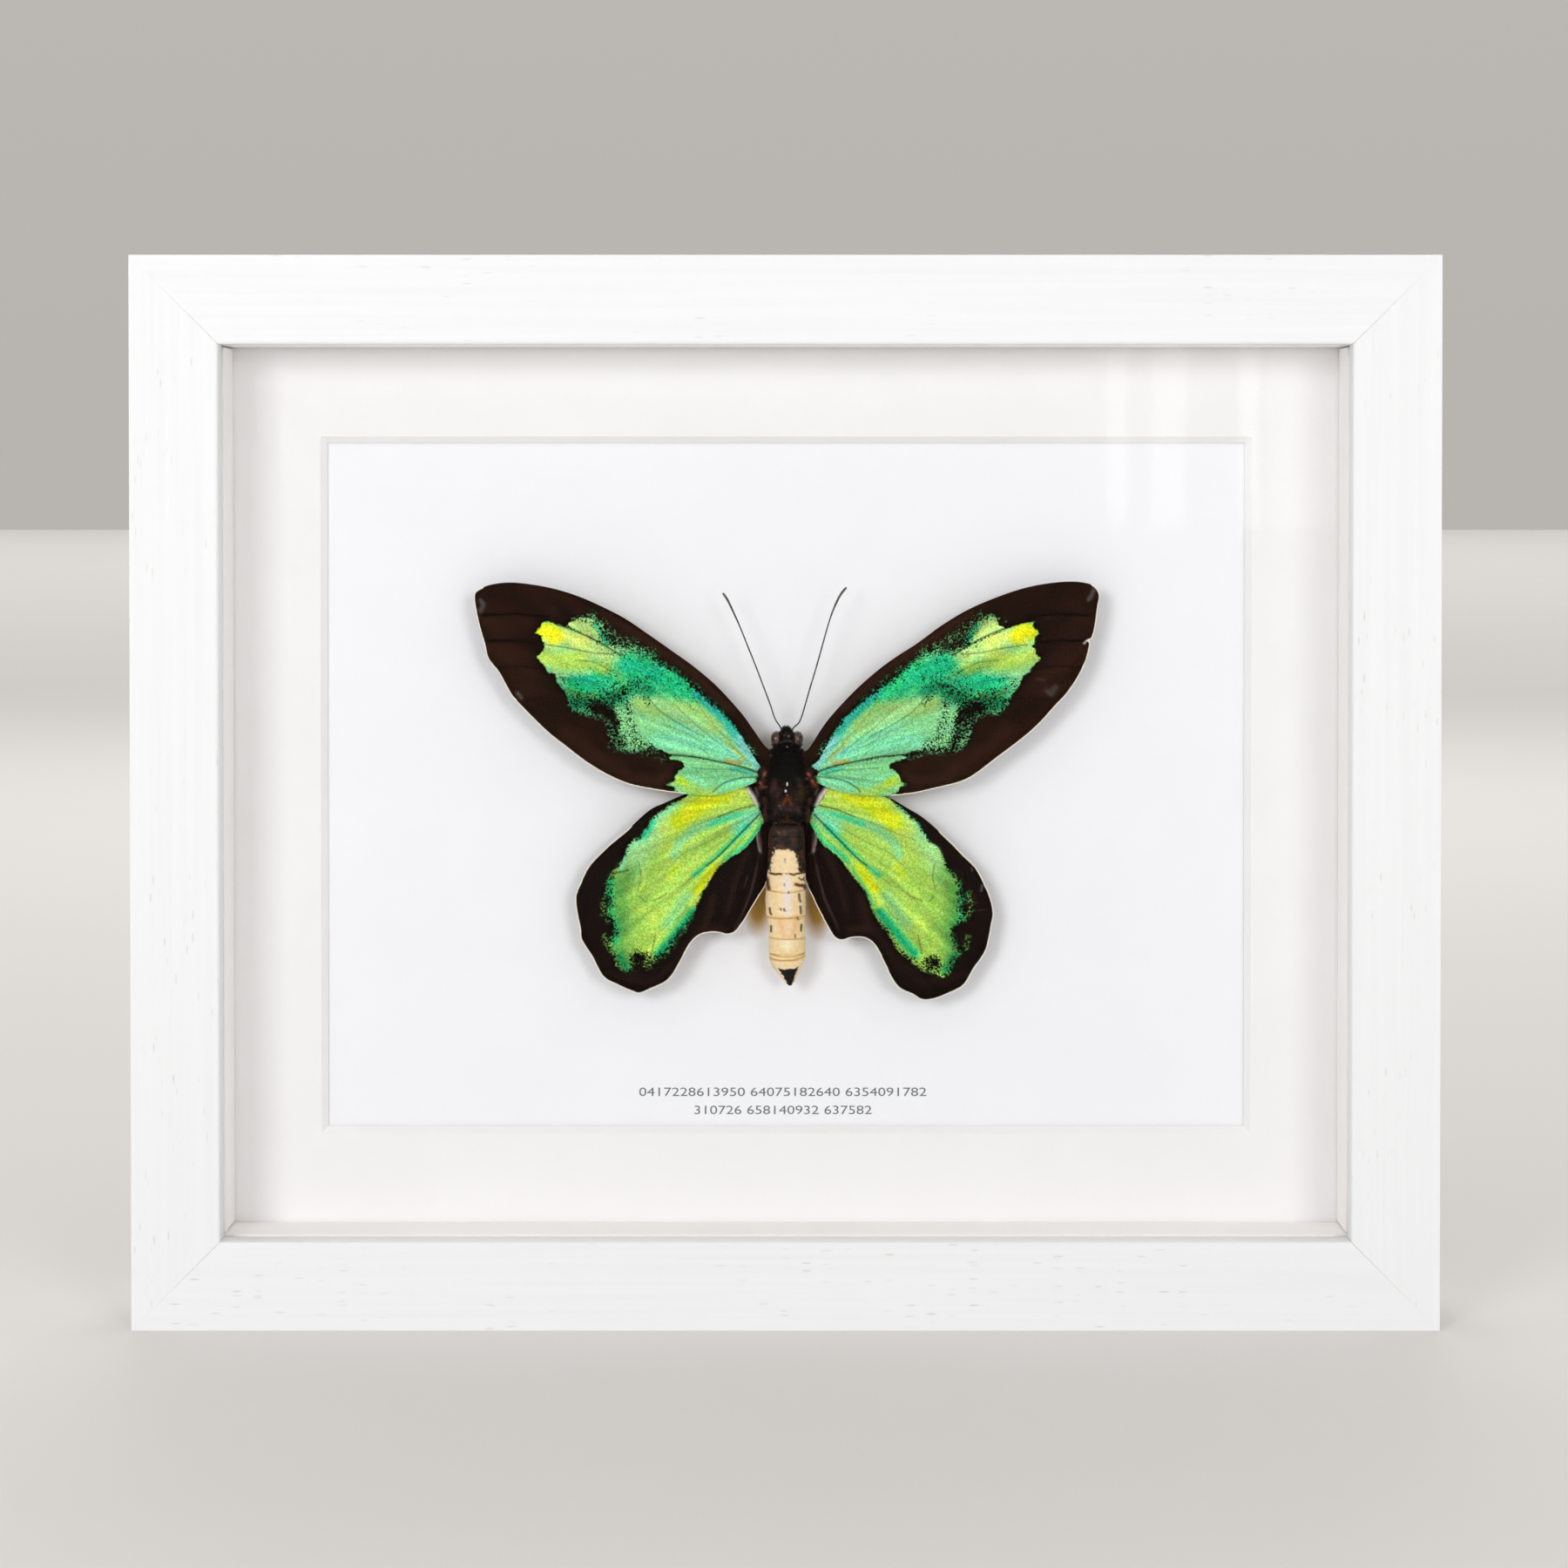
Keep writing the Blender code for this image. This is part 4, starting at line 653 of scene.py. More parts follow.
def wing_scales(name, underside=False):
    """Overlapping wing scales: each a speck of its own tone, glossy green over matt soot-brown."""
    material, tree, shader = new_material(name)
    # A real scale is about 0.1 mm wide. It is drawn about 0.26 mm wide so that single specks show.
    lengthwise = object_mapping(tree, (1.0, 0.2, 1.0))
    specks = add_node(tree, "ShaderNodeTexVoronoi", {"Vector": lengthwise, "Scale": 1 / 0.00026})
    parts = add_node(tree, "ShaderNodeSeparateColor", {0: specks.outputs["Color"]})
    lot, tone, hue = parts.outputs
    clump = noise_texture(tree, lengthwise, 1 / 0.0011, 3.0, 0.6)
    pick = maths(tree, "ADD", maths(tree, "MULTIPLY", lot, 0.74), maths(tree, "MULTIPLY", clump, 0.26))
    cover = attribute(tree, "scale_cover")
    bright = ramp(tree, maths(tree, "SUBTRACT", cover, pick), -0.12, 0.12)
    patch = noise_texture(tree, lengthwise, 1 / 0.0028, 3.0, 0.6)
    single, spread = ramp(tree, hue, 0.0, 1.0, -0.012, 0.016), ramp(tree, patch, 0.3, 0.7, 0.486, 0.518)
    inputs = {
        "Color": attribute(tree, "scale_tint", "Color"),
        "Hue": maths(tree, "ADD", single, spread),
        "Saturation": ramp(tree, tone, 0.0, 1.0, 1.12, 0.95),
        "Value": ramp(tree, tone, 0.0, 1.0, 0.74, 1.24),
    }
    varied = add_node(tree, "ShaderNodeHueSaturation", inputs).outputs[0]
    inputs = {
        "Color": attribute(tree, "ground_tint", "Color"),
        "Value": ramp(tree, tone, 0.0, 1.0, 0.8, 1.25),
    }
    ground = add_node(tree, "ShaderNodeHueSaturation", inputs).outputs[0]
    # Where the bright scales thin out, the black below turns them a deep emerald
    varied = mix(tree, ramp(tree, cover, 0.0, 0.55), linear("0A7246"), varied)
    if underside:
        varied = mix(tree, 0.75, varied, linear("C9A02C"))
    vein = attribute(tree, "vein")
    colour = mix(tree, bright, ground, varied)
    colour = mix(tree, maths(tree, "MULTIPLY", vein, bright), colour, linear("07210F"))
    colour = mix(tree, ramp(tree, attribute(tree, "fringe"), 0.25, 0.75), colour, linear("FBF0DC"))
    dull, gloss = ramp(tree, bright, 0.0, 1.0, 0.7, 0.5), ramp(tree, bright, 0.0, 1.0, 0.02, 0.10)
    set_finish(shader, Base_Color=colour, Roughness=dull, Specular_IOR_Level=gloss)
    bump(tree, shader, maths(tree, "ADD", specks.outputs["Distance"], clump), 0.00003, 0.6)
    return material


def chitin(name, base, patch, roughness, scale=900.0):
    """Dry cuticle: dark and faintly glossy, mottled where it has dulled."""
    material, tree, shader = new_material(name)
    mottle = noise_texture(tree, object_mapping(tree), scale, 4.0, 0.65)
    colour = mix(tree, ramp(tree, mottle, 0.4, 0.65), linear(base), linear(patch))
    set_finish(shader, Base_Color=colour, Roughness=ramp(tree, mottle, 0.3, 0.7, roughness, roughness + 0.2))
    bump(tree, shader, mottle, 0.00008, 0.7)
    return material


def body_cuticle(name, roughness=0.6, gloss=0.2):
    """Painted cuticle of the abdomen and thorax: chalky, its marks laid on the surface."""
    material, tree, shader = new_material(name)
    grain = noise_texture(tree, object_mapping(tree), 1 / 0.0007, 4.0, 0.6)  # wrinkles about 0.7 mm apart
    fine = noise_texture(tree, object_mapping(tree), 1 / 0.00022, 2.0)
    skin = attribute(tree, "skin_tint", "Color")
    colour = mix(tree, ramp(tree, grain, 0.35, 0.7, 0.0, 0.30), skin, linear("D8B48C"), "MULTIPLY")
    set_finish(shader, Base_Color=colour, Roughness=roughness, Specular_IOR_Level=gloss)
    bump(tree, shader, maths(tree, "ADD", grain, fine), 0.00007, 0.6)
    return material


def compound_eye():
    """Dried compound eye: brown lacquer over fine facets, with a sharp window highlight."""
    material, tree, shader = new_material("dried_compound_eye")
    facets = add_node(tree, "ShaderNodeTexVoronoi", {"Vector": object_mapping(tree), "Scale": 1 / 0.00014})
    cloud = noise_texture(tree, object_mapping(tree), 700.0, 3.0)
    colour = mix(tree, ramp(tree, cloud, 0.35, 0.7), linear("2A1210"), linear("5A3830"))
    set_finish(shader, Base_Color=colour, Roughness=0.22, Coat_Weight=0.6, Coat_Roughness=0.12)
    bump(tree, shader, facets.outputs["Distance"], 0.00002, 0.5)
    return material


def pile_hair():
    """Silky body hair: black or brown strands, a little paler towards the tip, with a dull sheen."""
    material, tree, shader = new_material("silky_body_hair")
    root = attribute(tree, "skin_tint", "Color")
    tip = mix(tree, 1.0, root, linear("FFE9D8"), "SCREEN")
    colour = mix(tree, maths(tree, "MULTIPLY", attribute(tree, "strand"), 0.03), root, tip)
    set_finish(shader, Base_Color=colour, Roughness=0.6, Specular_IOR_Level=0.02)
    return material


def wing_edge():
    """Cut edge of a wing: soot where it is thick, cream where the fringe scales stand out."""
    material, tree, shader = new_material("fringe_scales")
    colour = mix(tree, ramp(tree, attribute(tree, "fringe"), 0.3, 0.7), linear("1A100B"), linear("F3E4CC"))
    set_finish(shader, Base_Color=colour, Roughness=0.7, Specular_IOR_Level=0.25)
    return material


def glue_with_painted_glints():
    """Dabs of glue by the pin, their pale white a painted glint, their surface wet-looking."""
    material, tree, shader = new_material("glue_painted_white_as_glints")
    cloud = noise_texture(tree, object_mapping(tree), 1500.0, 2.0)
    colour = mix(tree, cloud, linear("C9C3BC"), linear("F6F4F2"))
    set_finish(shader, Base_Color=colour, Roughness=0.08, Coat_Weight=1.0, Coat_Roughness=0.05)
    return material


def stainless_wire():
    """Drawn stainless wire: bright, with fine drawing lines along it."""
    material, tree, shader = new_material("drawn_stainless_wire")
    lines = noise_texture(tree, object_mapping(tree, (6000.0, 200.0, 6000.0)), 1.0, 2.0)
    colour = mix(tree, lines, linear("B9BBBD"), linear("DADBDC"))
    set_finish(shader, Base_Color=colour, Roughness=ramp(tree, lines, 0.3, 0.7, 0.16, 0.3), Metallic=1.0)
    return material


def printing_ink():
    """Grey letterpress ink: matt, its coverage a little uneven."""
    material, tree, shader = new_material("grey_printing_ink")
    cover = noise_texture(tree, object_mapping(tree), 1 / 0.0004, 2.0)
    colour = mix(tree, ramp(tree, cover, 0.3, 0.7), linear("66676B"), linear("7E7F83"))
    set_finish(shader, Base_Color=colour, Roughness=0.8)
    return material


def studio_paper(colour):
    """Seamless paper sweep: matt, nearly even."""
    material, tree, shader = new_material("seamless_paper")
    cloud = noise_texture(tree, object_mapping(tree), 5.0, 3.0)
    shaded = (*(0.97 * c for c in colour[:3]), 1.0)
    set_finish(shader, Base_Color=mix(tree, cloud, colour, shaded), Roughness=0.9, Specular_IOR_Level=0.2)
    return material


# Shapes


def deselect():
    if bpy.context.object and bpy.context.object.mode != "OBJECT":
        bpy.ops.object.mode_set(mode="OBJECT")
    bpy.ops.object.select_all(action="DESELECT")


def activate(obj):
    deselect()
    obj.select_set(True)
    bpy.context.view_layer.objects.active = obj


def place(x, depth, z):
    """A point in metres from millimetres across, behind the moulding's front, and up."""
    return Vector((x * MM, FRONT + depth * MM, z * MM))


def on_specimen(x, depth, z):
    """The same, with x and z from the specimen's own middle."""
    return place(SPECIMEN_X + x, depth, SPECIMEN_Z + z)


def new_piece(name, mesh, *materials):
    obj = bpy.data.objects.new(name, mesh)
    bpy.context.scene.collection.objects.link(obj)
    for material in materials:
        mesh.materials.append(material)
    return obj


def mesh_of(name, verts, faces):
    mesh = bpy.data.meshes.new(name)
    mesh.from_pydata([tuple(v) for v in verts], [], [tuple(f) for f in faces])
    mesh.update()
    return mesh


def put_attribute(mesh, name, values):
    """Stores one number or one colour for each vertex."""
    values = np.asarray(values, float)
    if values.ndim == 1:
        mesh.attributes.new(name, "FLOAT", "POINT").data.foreach_set("value", values.astype(np.float32))
        return
    rgba = np.column_stack([to_linear(values), np.ones(len(values))]).astype(np.float32)
    mesh.attributes.new(name, "FLOAT_COLOR", "POINT").data.foreach_set("color", rgba.ravel())


def apply_modifiers(obj):
    activate(obj)
    for modifier in list(obj.modifiers):
        bpy.ops.object.modifier_apply(modifier=modifier.name)


def smooth(obj, angle=35.0):
    activate(obj)
    bpy.ops.object.shade_smooth_by_angle(angle=math.radians(angle))


def settle(obj, slot, *nodes):
    """The finished piece rides on the frame and stands for its nodes. The slot is not used."""
    if nodes:
        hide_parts(*nodes)
    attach(obj, "root")
    return obj


def join(obj, *others):
    """Makes grown-together parts one piece, each part still a closed skin of its own."""
    activate(obj)
    for other in others:
        other.select_set(True)
    bpy.ops.object.join()


def dress(name, material):
    """Gives a construction node its real finish."""
    slots = NODES[name].data.materials
    slots.clear()
    slots.append(material)


# Frame

HIDDEN_ARRIS, MITRE_ARRIS = 0.25 * MM, 0.04 * MM


def mitre(obj, side, length, reach, clearance):
    """Saws one end of a top rail at 45 degrees."""
    activate(obj)
    bpy.ops.object.mode_set(mode="EDIT")
    bpy.ops.mesh.select_all(action="SELECT")
    corner = (side * (length / 2 - clearance), 0, reach)
    bpy.ops.mesh.bisect(plane_co=corner, plane_no=(side, 0, -1), use_fill=True, clear_outer=True)
    bpy.ops.object.mode_set(mode="OBJECT")


def bevel_edges(obj, wanted, width, segments):
    """Rounds the edges that a test on their two ends picks."""
    activate(obj)
    bpy.ops.object.mode_set(mode="EDIT")
    shape = bmesh.from_edit_mesh(obj.data)
    for edge in shape.edges:
        edge.select_set(wanted(edge.verts[0].co, edge.verts[1].co))
    bmesh.update_edit_mesh(obj.data)
    bpy.ops.mesh.bevel(offset=width, segments=segments, affect="EDGES")
    bpy.ops.object.mode_set(mode="OBJECT")


def near(a, b):
    return abs(a - b) < 0.02 * MM


def cut_rail(name, length, reach, quarter_turns, material, settings):
    """One length of moulding, made as the top rail about the frame's middle and turned to its side."""
    deselect()
    depth = CAD_HIGH.y - CAD_LOW.y
    face, lip, rebate = settings.face, LIP_BACK - FRONT, settings.lip_overlap
    bpy.ops.mesh.primitive_cube_add(size=1, location=(0, 0, reach - face / 2))
    obj = bpy.context.object
    obj.name = name
    obj.scale = (length, depth, face)
    bpy.ops.object.transform_apply(location=True, rotation=False, scale=True)
    deselect()
    wall = face - rebate
    step = reach - wall - face / 2
    bpy.ops.mesh.primitive_cube_add(size=1, location=(0, FRONT + lip + depth / 2, step))
    cutter = bpy.context.object
    cutter.scale = (length * 1.2, depth, face)
    bpy.ops.object.transform_apply(location=True, rotation=False, scale=True)
    trim = obj.modifiers.new("Rebate", "BOOLEAN")
    trim.operation = "DIFFERENCE"
    trim.object = cutter
    apply_modifiers(obj)
    bpy.data.objects.remove(cutter)
    for side in (-1, 1):
        mitre(obj, side, length, reach, settings.mitre_gap / math.sqrt(2))
    sight = reach - face

    def front_outer(a, b):
        return all(near(v.y, FRONT) and near(v.z, reach) for v in (a, b))

    def front_sight(a, b):
        return all(near(v.y, FRONT) and near(v.z, sight) for v in (a, b))

    def other_long(a, b):
        return near(a.y, b.y) and near(a.z, b.z) and not near(a.x, b.x) and not near(a.y, FRONT)

    def mitre_front(a, b):
        return all(near(v.y, FRONT) for v in (a, b)) and not near(a.z, b.z)

    bevel_edges(obj, front_outer, settings.outer_arris, 4)
    bevel_edges(obj, front_sight, settings.sight_arris, 6)
    bevel_edges(obj, other_long, HIDDEN_ARRIS, 2)
    bevel_edges(obj, mitre_front, MITRE_ARRIS, 1)
    turn = Matrix.Rotation(math.radians(-90 * quarter_turns), 4, "Y")
    obj.data.transform(Matrix.Translation((0, 0, (CAD_LOW.z + CAD_HIGH.z) / 2)) @ turn)
    obj.data.materials.append(material)
    smooth(obj, 30)
    return settle(obj, "painted_timber", name)


class MouldingSettings(bpy.types.PropertyGroup):
    face: bpy.props.FloatProperty(
        name="Face", description="Width of the moulding seen from the front", default=19.0 * MM, unit="LENGTH"
    )
    lip_overlap: bpy.props.FloatProperty(
        name="Lip", description="How far the lip covers the glass", default=7.0 * MM, unit="LENGTH"
    )
    outer_arris: bpy.props.FloatProperty(
        name="Outer arris", description="Round of the outer front edge", default=0.8 * MM, unit="LENGTH"
    )
    sight_arris: bpy.props.FloatProperty(
        name="Sight arris", description="Round of the edge next to the glass", default=0.6 * MM, unit="LENGTH"
    )
    mitre_gap: bpy.props.FloatProperty(
        name="Mitre gap", description="Open joint left between two rails", default=0.05 * MM, unit="LENGTH"
    )


class BUTTERFLY_OT_rails(bpy.types.Operator):
    """Cut, mitre and lacquer the four rails of the moulding"""

    bl_idname = "butterfly.rails"
    bl_label = "Moulding"

    def execute(self, context):
        settings = context.scene.butterfly_moulding
        width, height = CAD_HIGH.x - CAD_LOW.x, CAD_HIGH.z - CAD_LOW.z
        level = painted_ash("lacquered_ash_level", 0)
        upright = painted_ash("lacquered_ash_upright", 2)
        cut_rail("rail_top", width, height / 2, 0, level, settings)
        cut_rail("rail_left", height, width / 2, 1, upright, settings)
        cut_rail("rail_bottom", width, height / 2, 2, level, settings)
        cut_rail("rail_right", height, width / 2, 3, upright, settings)
        return {"FINISHED"}


class BUTTERFLY_OT_glass(bpy.types.Operator):
    """Lay the clear pane behind the lip"""

    bl_idname = "butterfly.glass"
    bl_label = "Glass"

    def execute(self, context):
        deselect()
        middle, size = (GLASS_LOW + GLASS_HIGH) / 2, GLASS_HIGH - GLASS_LOW
        bpy.ops.mesh.primitive_cube_add(size=1, location=middle)
        pane = bpy.context.object
        pane.name = "pane"
        pane.scale = size
        bpy.ops.object.transform_apply(location=True, rotation=False, scale=True)
        bevel_edges(pane, lambda a, b: True, 0.2 * MM, 1)
        pane.data.materials.append(picture_glass())
        settle(pane, "picture_glass", "glass_pane")
        return {"FINISHED"}


class BUTTERFLY_OT_boards(bpy.types.Operator):
    """Surface the mount board, the spacers and the backing boards"""

    bl_idname = "butterfly.boards"
    bl_label = "Boards"

    def execute(self, context):
        mount = card("white_core_mount_board", "F5F2F3", "F0EDED")
        slips = card("white_spacer_card", "FFFBF9", "FBF6F3")
        dress("mount_board", mount)
        for side in ("top", "bottom", "left", "right"):
            dress(f"spacer_{side}", slips)
        dress("backing_board", foam_board())
        dress("back_board", fibreboard())
        return {"FINISHED"}


class BUTTERFLY_OT_fittings(bpy.types.Operator):
    """Plate the tabs, the hanger and its rivets"""

    bl_idname = "butterfly.fittings"
    bl_label = "Fittings"

    def execute(self, context):
        steel = zinc_plate()
        for name in NODES:
            if name.startswith(("tab_", "hanger")):
                dress(name, steel)
        return {"FINISHED"}


# Wings

# A wing's lattice as shares of its step: how uneven it is, and the gaps to the edge and to a vein
JITTER, EDGE_GAP, VEIN_GAP = 0.12, 0.6, 0.55
# How soft a field's edge is, how far round a dusty route it is softer, and the least and most cover
EDGE_SOFTNESS, DUSTY_REACH, COVER_LIMITS = 0.5, 5.0, (-3, 1.12)
# Fineness of the streaks from the root, per radian across and per millimetre along
STREAK_ACROSS, STREAK_ALONG = 24, 0.07
# Half the width of a vein's ridge, and the height and fineness of the dry membrane's waves
RIDGE_REACH, WAVE_HEIGHT, WAVE_FINENESS = 0.7, 0.18, 0.09


def forewing_depth(x, z):
    """Nearly flat, drooping back a little towards the tip."""
    return FOREWING_REST + DROOP * (x / FOREWING_TIP) ** 2


def hindwing_depth(x, z):
    """Nearly flat, with the inner margin folded back along the abdomen."""
    fold = np.clip(1 - (x - 4.2) / 5.5, 0, 1)
    along = np.clip((-2.0 - z) / 8.0, 0, 1)
    return HINDWING_REST + DROOP * (x / HINDWING_TIP) ** 2 + 2.0 * fold**2 * along


def wing_lattice(outline, lines, step, seed):
    """An uneven lattice of points inside a wing, clear of its edge and its veins."""
    rng = np.random.default_rng(seed)
    low, high = outline.min(0), outline.max(0)
    row = step * math.sqrt(3) / 2
    rows = np.arange(low[1], high[1], row)
    points = []
    for number, z in enumerate(rows):
        xs = np.arange(low[0] + (number % 2) * step / 2, high[0], step)
        points.append(np.column_stack([xs, np.full(len(xs), z)]))
    points = np.vstack(points)
    points = points + rng.uniform(-JITTER, JITTER, points.shape) * step
    keep = inside(points, outline) & (distance_to(points, outline, True) > EDGE_GAP * step)
    points = points[keep]
    for line in lines:
        points = points[distance_to(points, line) > VEIN_GAP * step]
    return points


def wing_skin(outline, lines, step, seed):
    """Triangulates the wing so that every vein is a chain of edges. Returns flat points and faces."""
    points = [*outline]
    edges = [(i, (i + 1) % len(outline)) for i in range(len(outline))]
    for line in lines:
        start = len(points)
        points.extend(line)
        edges += [(start + i, start + i + 1) for i in range(len(line) - 1)]
    points.extend(wing_lattice(outline, lines, step, seed))
    flat = [Vector(p) for p in points]
    verts, _, faces, *_ = geometry.delaunay_2d_cdt(flat, edges, [], 1, 1e-5)
    return np.array([tuple(v) for v in verts]), faces


class Wing:
    """One wing's outline, fields and strokes."""

    def __init__(self, kind, side):
        fore = kind == "forewing"
        self.name = f"{kind}_{side}"
        self.sign = -1 if side == "left" else 1
        self.outline = smooth_path((FOREWING_OUTLINES if fore else HINDWING_OUTLINES)[side], 0.3, closed=True)
        self.fields = (FOREWING_FIELDS if fore else HINDWING_FIELDS)[side]
        self.veins = FOREWING_VEINS if fore else HINDWING_VEINS
        self.strokes = FOREWING_STROKES if fore else HINDWING_STROKES
        self.thinning = FOREWING_THINNING if fore else HINDWING_THINNING[side]
        self.dust = FOREWING_DUST if fore else HINDWING_DUST
        self.tones = (FOREWING_TONES if fore else HINDWING_TONES) + SCUFFS[self.name]
        self.depth = forewing_depth if fore else hindwing_depth
        self.base = "sea_green" if fore else "lime"
        self.ground = "umber" if fore else "jet"
        self.dusty = FOREWING_DUSTY if fore else HINDWING_DUSTY
        self.root = np.array([2.5, 3.6] if fore else [1.5, -3.0])
        self.seed = SEED + 2 * fore + (side == "left")
        # The pale fringe runs along the outer and trailing edges only
        self.fringe_from = (66.0, 43.4) if fore else (34.0, -8.8)


def scale_cover(points, wing):
    """The cover of bright scales, over 1 in a field and down to none, and each point's depth in a field."""
    depth = np.max([depth_inside(points, field) for field in wing.fields], axis=0)
    dusty = sum(reach * fade(distance_to(points, route), DUSTY_REACH) for reach, route in wing.dusty)
    cover = np.clip(0.5 + depth / (EDGE_SOFTNESS + dusty), *COVER_LIMITS)
    for level, reach, route in wing.thinning:
        weight = fade(distance_to(points, route), reach)
        cover = cover * (1 - weight) + np.minimum(cover, level) * weight
    for level, reach, route in wing.dust:
        weight = fade(distance_to(points, route), reach)
        cover = np.maximum(cover, level * weight)
    return cover, depth


def root_streaks(points, wing):
    """Long soft streaks that run out from the wing's root, from about -1 to 1."""
    away = points - wing.root
    turns = np.arctan2(away[:, 1], away[:, 0])
    reach = np.hypot(away[:, 0], away[:, 1])
    seed = wing.seed * 3.7
    places = [Vector((t * STREAK_ACROSS, r * STREAK_ALONG, seed)) for t, r in zip(turns, reach)]
    return 1.6 * np.array([noise.noise(place) for place in places])


def vein_marks(flat, wing, lines):
    """How dark the veins make each point, and how high their ridges stand there."""
    vein = np.zeros(len(flat))
    ridge = np.zeros(len(flat))
    for (half_width, darkness, _), line in zip(wing.veins, lines):
        distance = distance_to(flat, line)
        vein = np.maximum(vein, darkness * np.clip(1.2 - distance / (0.8 * half_width), 0, 1))
        ridge = np.maximum(ridge, darkness * fade(distance, RIDGE_REACH))
    return vein, ridge


def wing_colours(flat, wing, field_depth):
    """The bright scales' tints and the dark ground's tones, both streaked from the root."""
    streaks = root_streaks(flat, wing)[:, None]
    tints = paint(flat, wing.base, wing.strokes, SCALE_COLOURS) * (1 + 0.12 * streaks)
    tints = tints * (1 - 0.12 * np.clip(streaks, 0, 1)) + hex_colour("B8C060") * 0.12 * np.clip(streaks, 0, 1)
    soot = 0.75 * np.clip(1 + field_depth / 1.6, 0, 1)[:, None]
    ground = hex_colour(DARK_COLOURS[wing.ground]) * (1 + 0.2 * streaks)
    ground = ground * (1 - soot) + hex_colour(DARK_COLOURS["soot"]) * soot
    return tints, paint(flat, ground, wing.tones, DARK_COLOURS)


def make_wing(kind, side, upper, under, rim, settings):
    """One wing as a closed sheet: bright scales above, dull gold below, and a fringed rim."""
    wing = Wing(kind, side)
    lines = [smooth_path(route, 0.3) for _, _, route in wing.veins]
    flat, faces = wing_skin(wing.outline, lines, settings.cell / MM, wing.seed)
    cover, field_depth = scale_cover(flat, wing)
    vein, ridge = vein_marks(flat, wing, lines)
    tints, tones = wing_colours(flat, wing, field_depth)
    pale = edge_band(flat, wing)
    places = [Vector((x * WAVE_FINENESS, z * WAVE_FINENESS, wing.seed)) for x, z in flat]
    waves = WAVE_HEIGHT * np.array([noise.noise(place) for place in places])
    depth = wing.depth(flat[:, 0], flat[:, 1]) - settings.vein_height / MM * ridge + waves
    verts = [on_specimen(wing.sign * x, y, z) for (x, z), y in zip(flat, depth)]
    if wing.sign > 0:
        faces = [tuple(reversed(f)) for f in faces]
    mesh = mesh_of(wing.name, verts, faces)
    put_attribute(mesh, "scale_cover", cover)
    put_attribute(mesh, "vein", vein)
    put_attribute(mesh, "fringe", pale)
    put_attribute(mesh, "scale_tint", tints)
    put_attribute(mesh, "ground_tint", tones)
    obj = new_piece(f"{wing.name}_scaled", mesh, upper, under, rim)
    face_front(obj)
    membrane = obj.modifiers.new("Membrane", "SOLIDIFY")
    membrane.thickness = settings.thickness
    membrane.offset = 0
    membrane.material_offset = 1
    membrane.material_offset_rim = 2
    apply_modifiers(obj)
    smooth(obj, 50)
    return settle(obj, "scaled_wing", wing.name)


def face_front(obj):
    """Turns an open sheet so that its faces look at the viewer."""
    mesh = obj.data
    if sum(p.normal.y * p.area for p in mesh.polygons) > 0:
        mesh.flip_normals()


def edge_band(flat, wing):
    """The pale fringe: 1 on the outer and trailing edge, falling to 0 within a third of a millimetre."""
    start = int(np.argmin(np.linalg.norm(wing.outline - np.array(wing.fringe_from), axis=1)))
    last = int(len(wing.outline) * FRINGE_END)
    return np.clip(1 - distance_to(flat, wing.outline[start:last]) / FRINGE_WIDTH, 0, 1)


class WingSettings(bpy.types.PropertyGroup):
    cell: bpy.props.FloatProperty(
        name="Cell", description="Spacing of the points on the wings", default=0.30 * MM, unit="LENGTH"
    )
    thickness: bpy.props.FloatProperty(
        name="Thickness", description="Thickness of the scaled membrane", default=0.16 * MM, unit="LENGTH"
    )
    vein_height: bpy.props.FloatProperty(
        name="Vein height", description="How far a vein stands up", default=0.10 * MM, unit="LENGTH"
    )


class BUTTERFLY_OT_wings(bpy.types.Operator):
    """Skin the four wings and lay their scales"""

    bl_idname = "butterfly.wings"
    bl_label = "Wings"

    def execute(self, context):
        upper = wing_scales("upper_wing_scales")
        under = wing_scales("under_wing_scales", underside=True)
        rim = wing_edge()
        for kind in ("forewing", "hindwing"):
            for side in ("left", "right"):
                make_wing(kind, side, upper, under, rim, context.scene.butterfly_wings)
        return {"FINISHED"}


# Body

BODY_COLOURS = {
    "cream": "FAE0B4", "pale": "FFF4D8", "ochre": "D2A660", "orange": "F0C088", "lilac": "F4E6E4",
    "straw": "F6D9A0", "brown": "54230F", "bark": "2B1C15", "black": "070403", "soot": "030202",
    "rust": "8E4317", "chestnut": "5E3426", "plum": "33242B", "olive": "3B3320", "pale_tuft_and_glint": "B9A9A0",
    "grey": "6A6562", "blush": "F6D6BC", "knob_highlight": "B4705C",
}
ABDOMEN_OUTLINE = [
    (-8.1, -2.4, 2.4), (-8.6, -3.4, 3.4), (-10, -3.9, 3.9), (-13.3, -4.1, 4), (-18.6, -4.3, 4.2),
    (-22, -4.6, 4.2), (-25, -4.7, 4.2), (-28.5, -4.4, 4.1), (-31, -4.1, 4.05), (-35, -4, 4.15),
    (-37.4, -3.9, 4.05), (-38.6, -3.4, 3.6), (-40, -2.5, 2.9), (-41.2, -1.6, 2.35), (-42.3, -0.7, 1.8),
    (-43, 0, 1.4), (-43.4, 0.4, 1),
]
ABDOMEN_DEPTH, ABDOMEN_FLATNESS = 17.9, 0.87
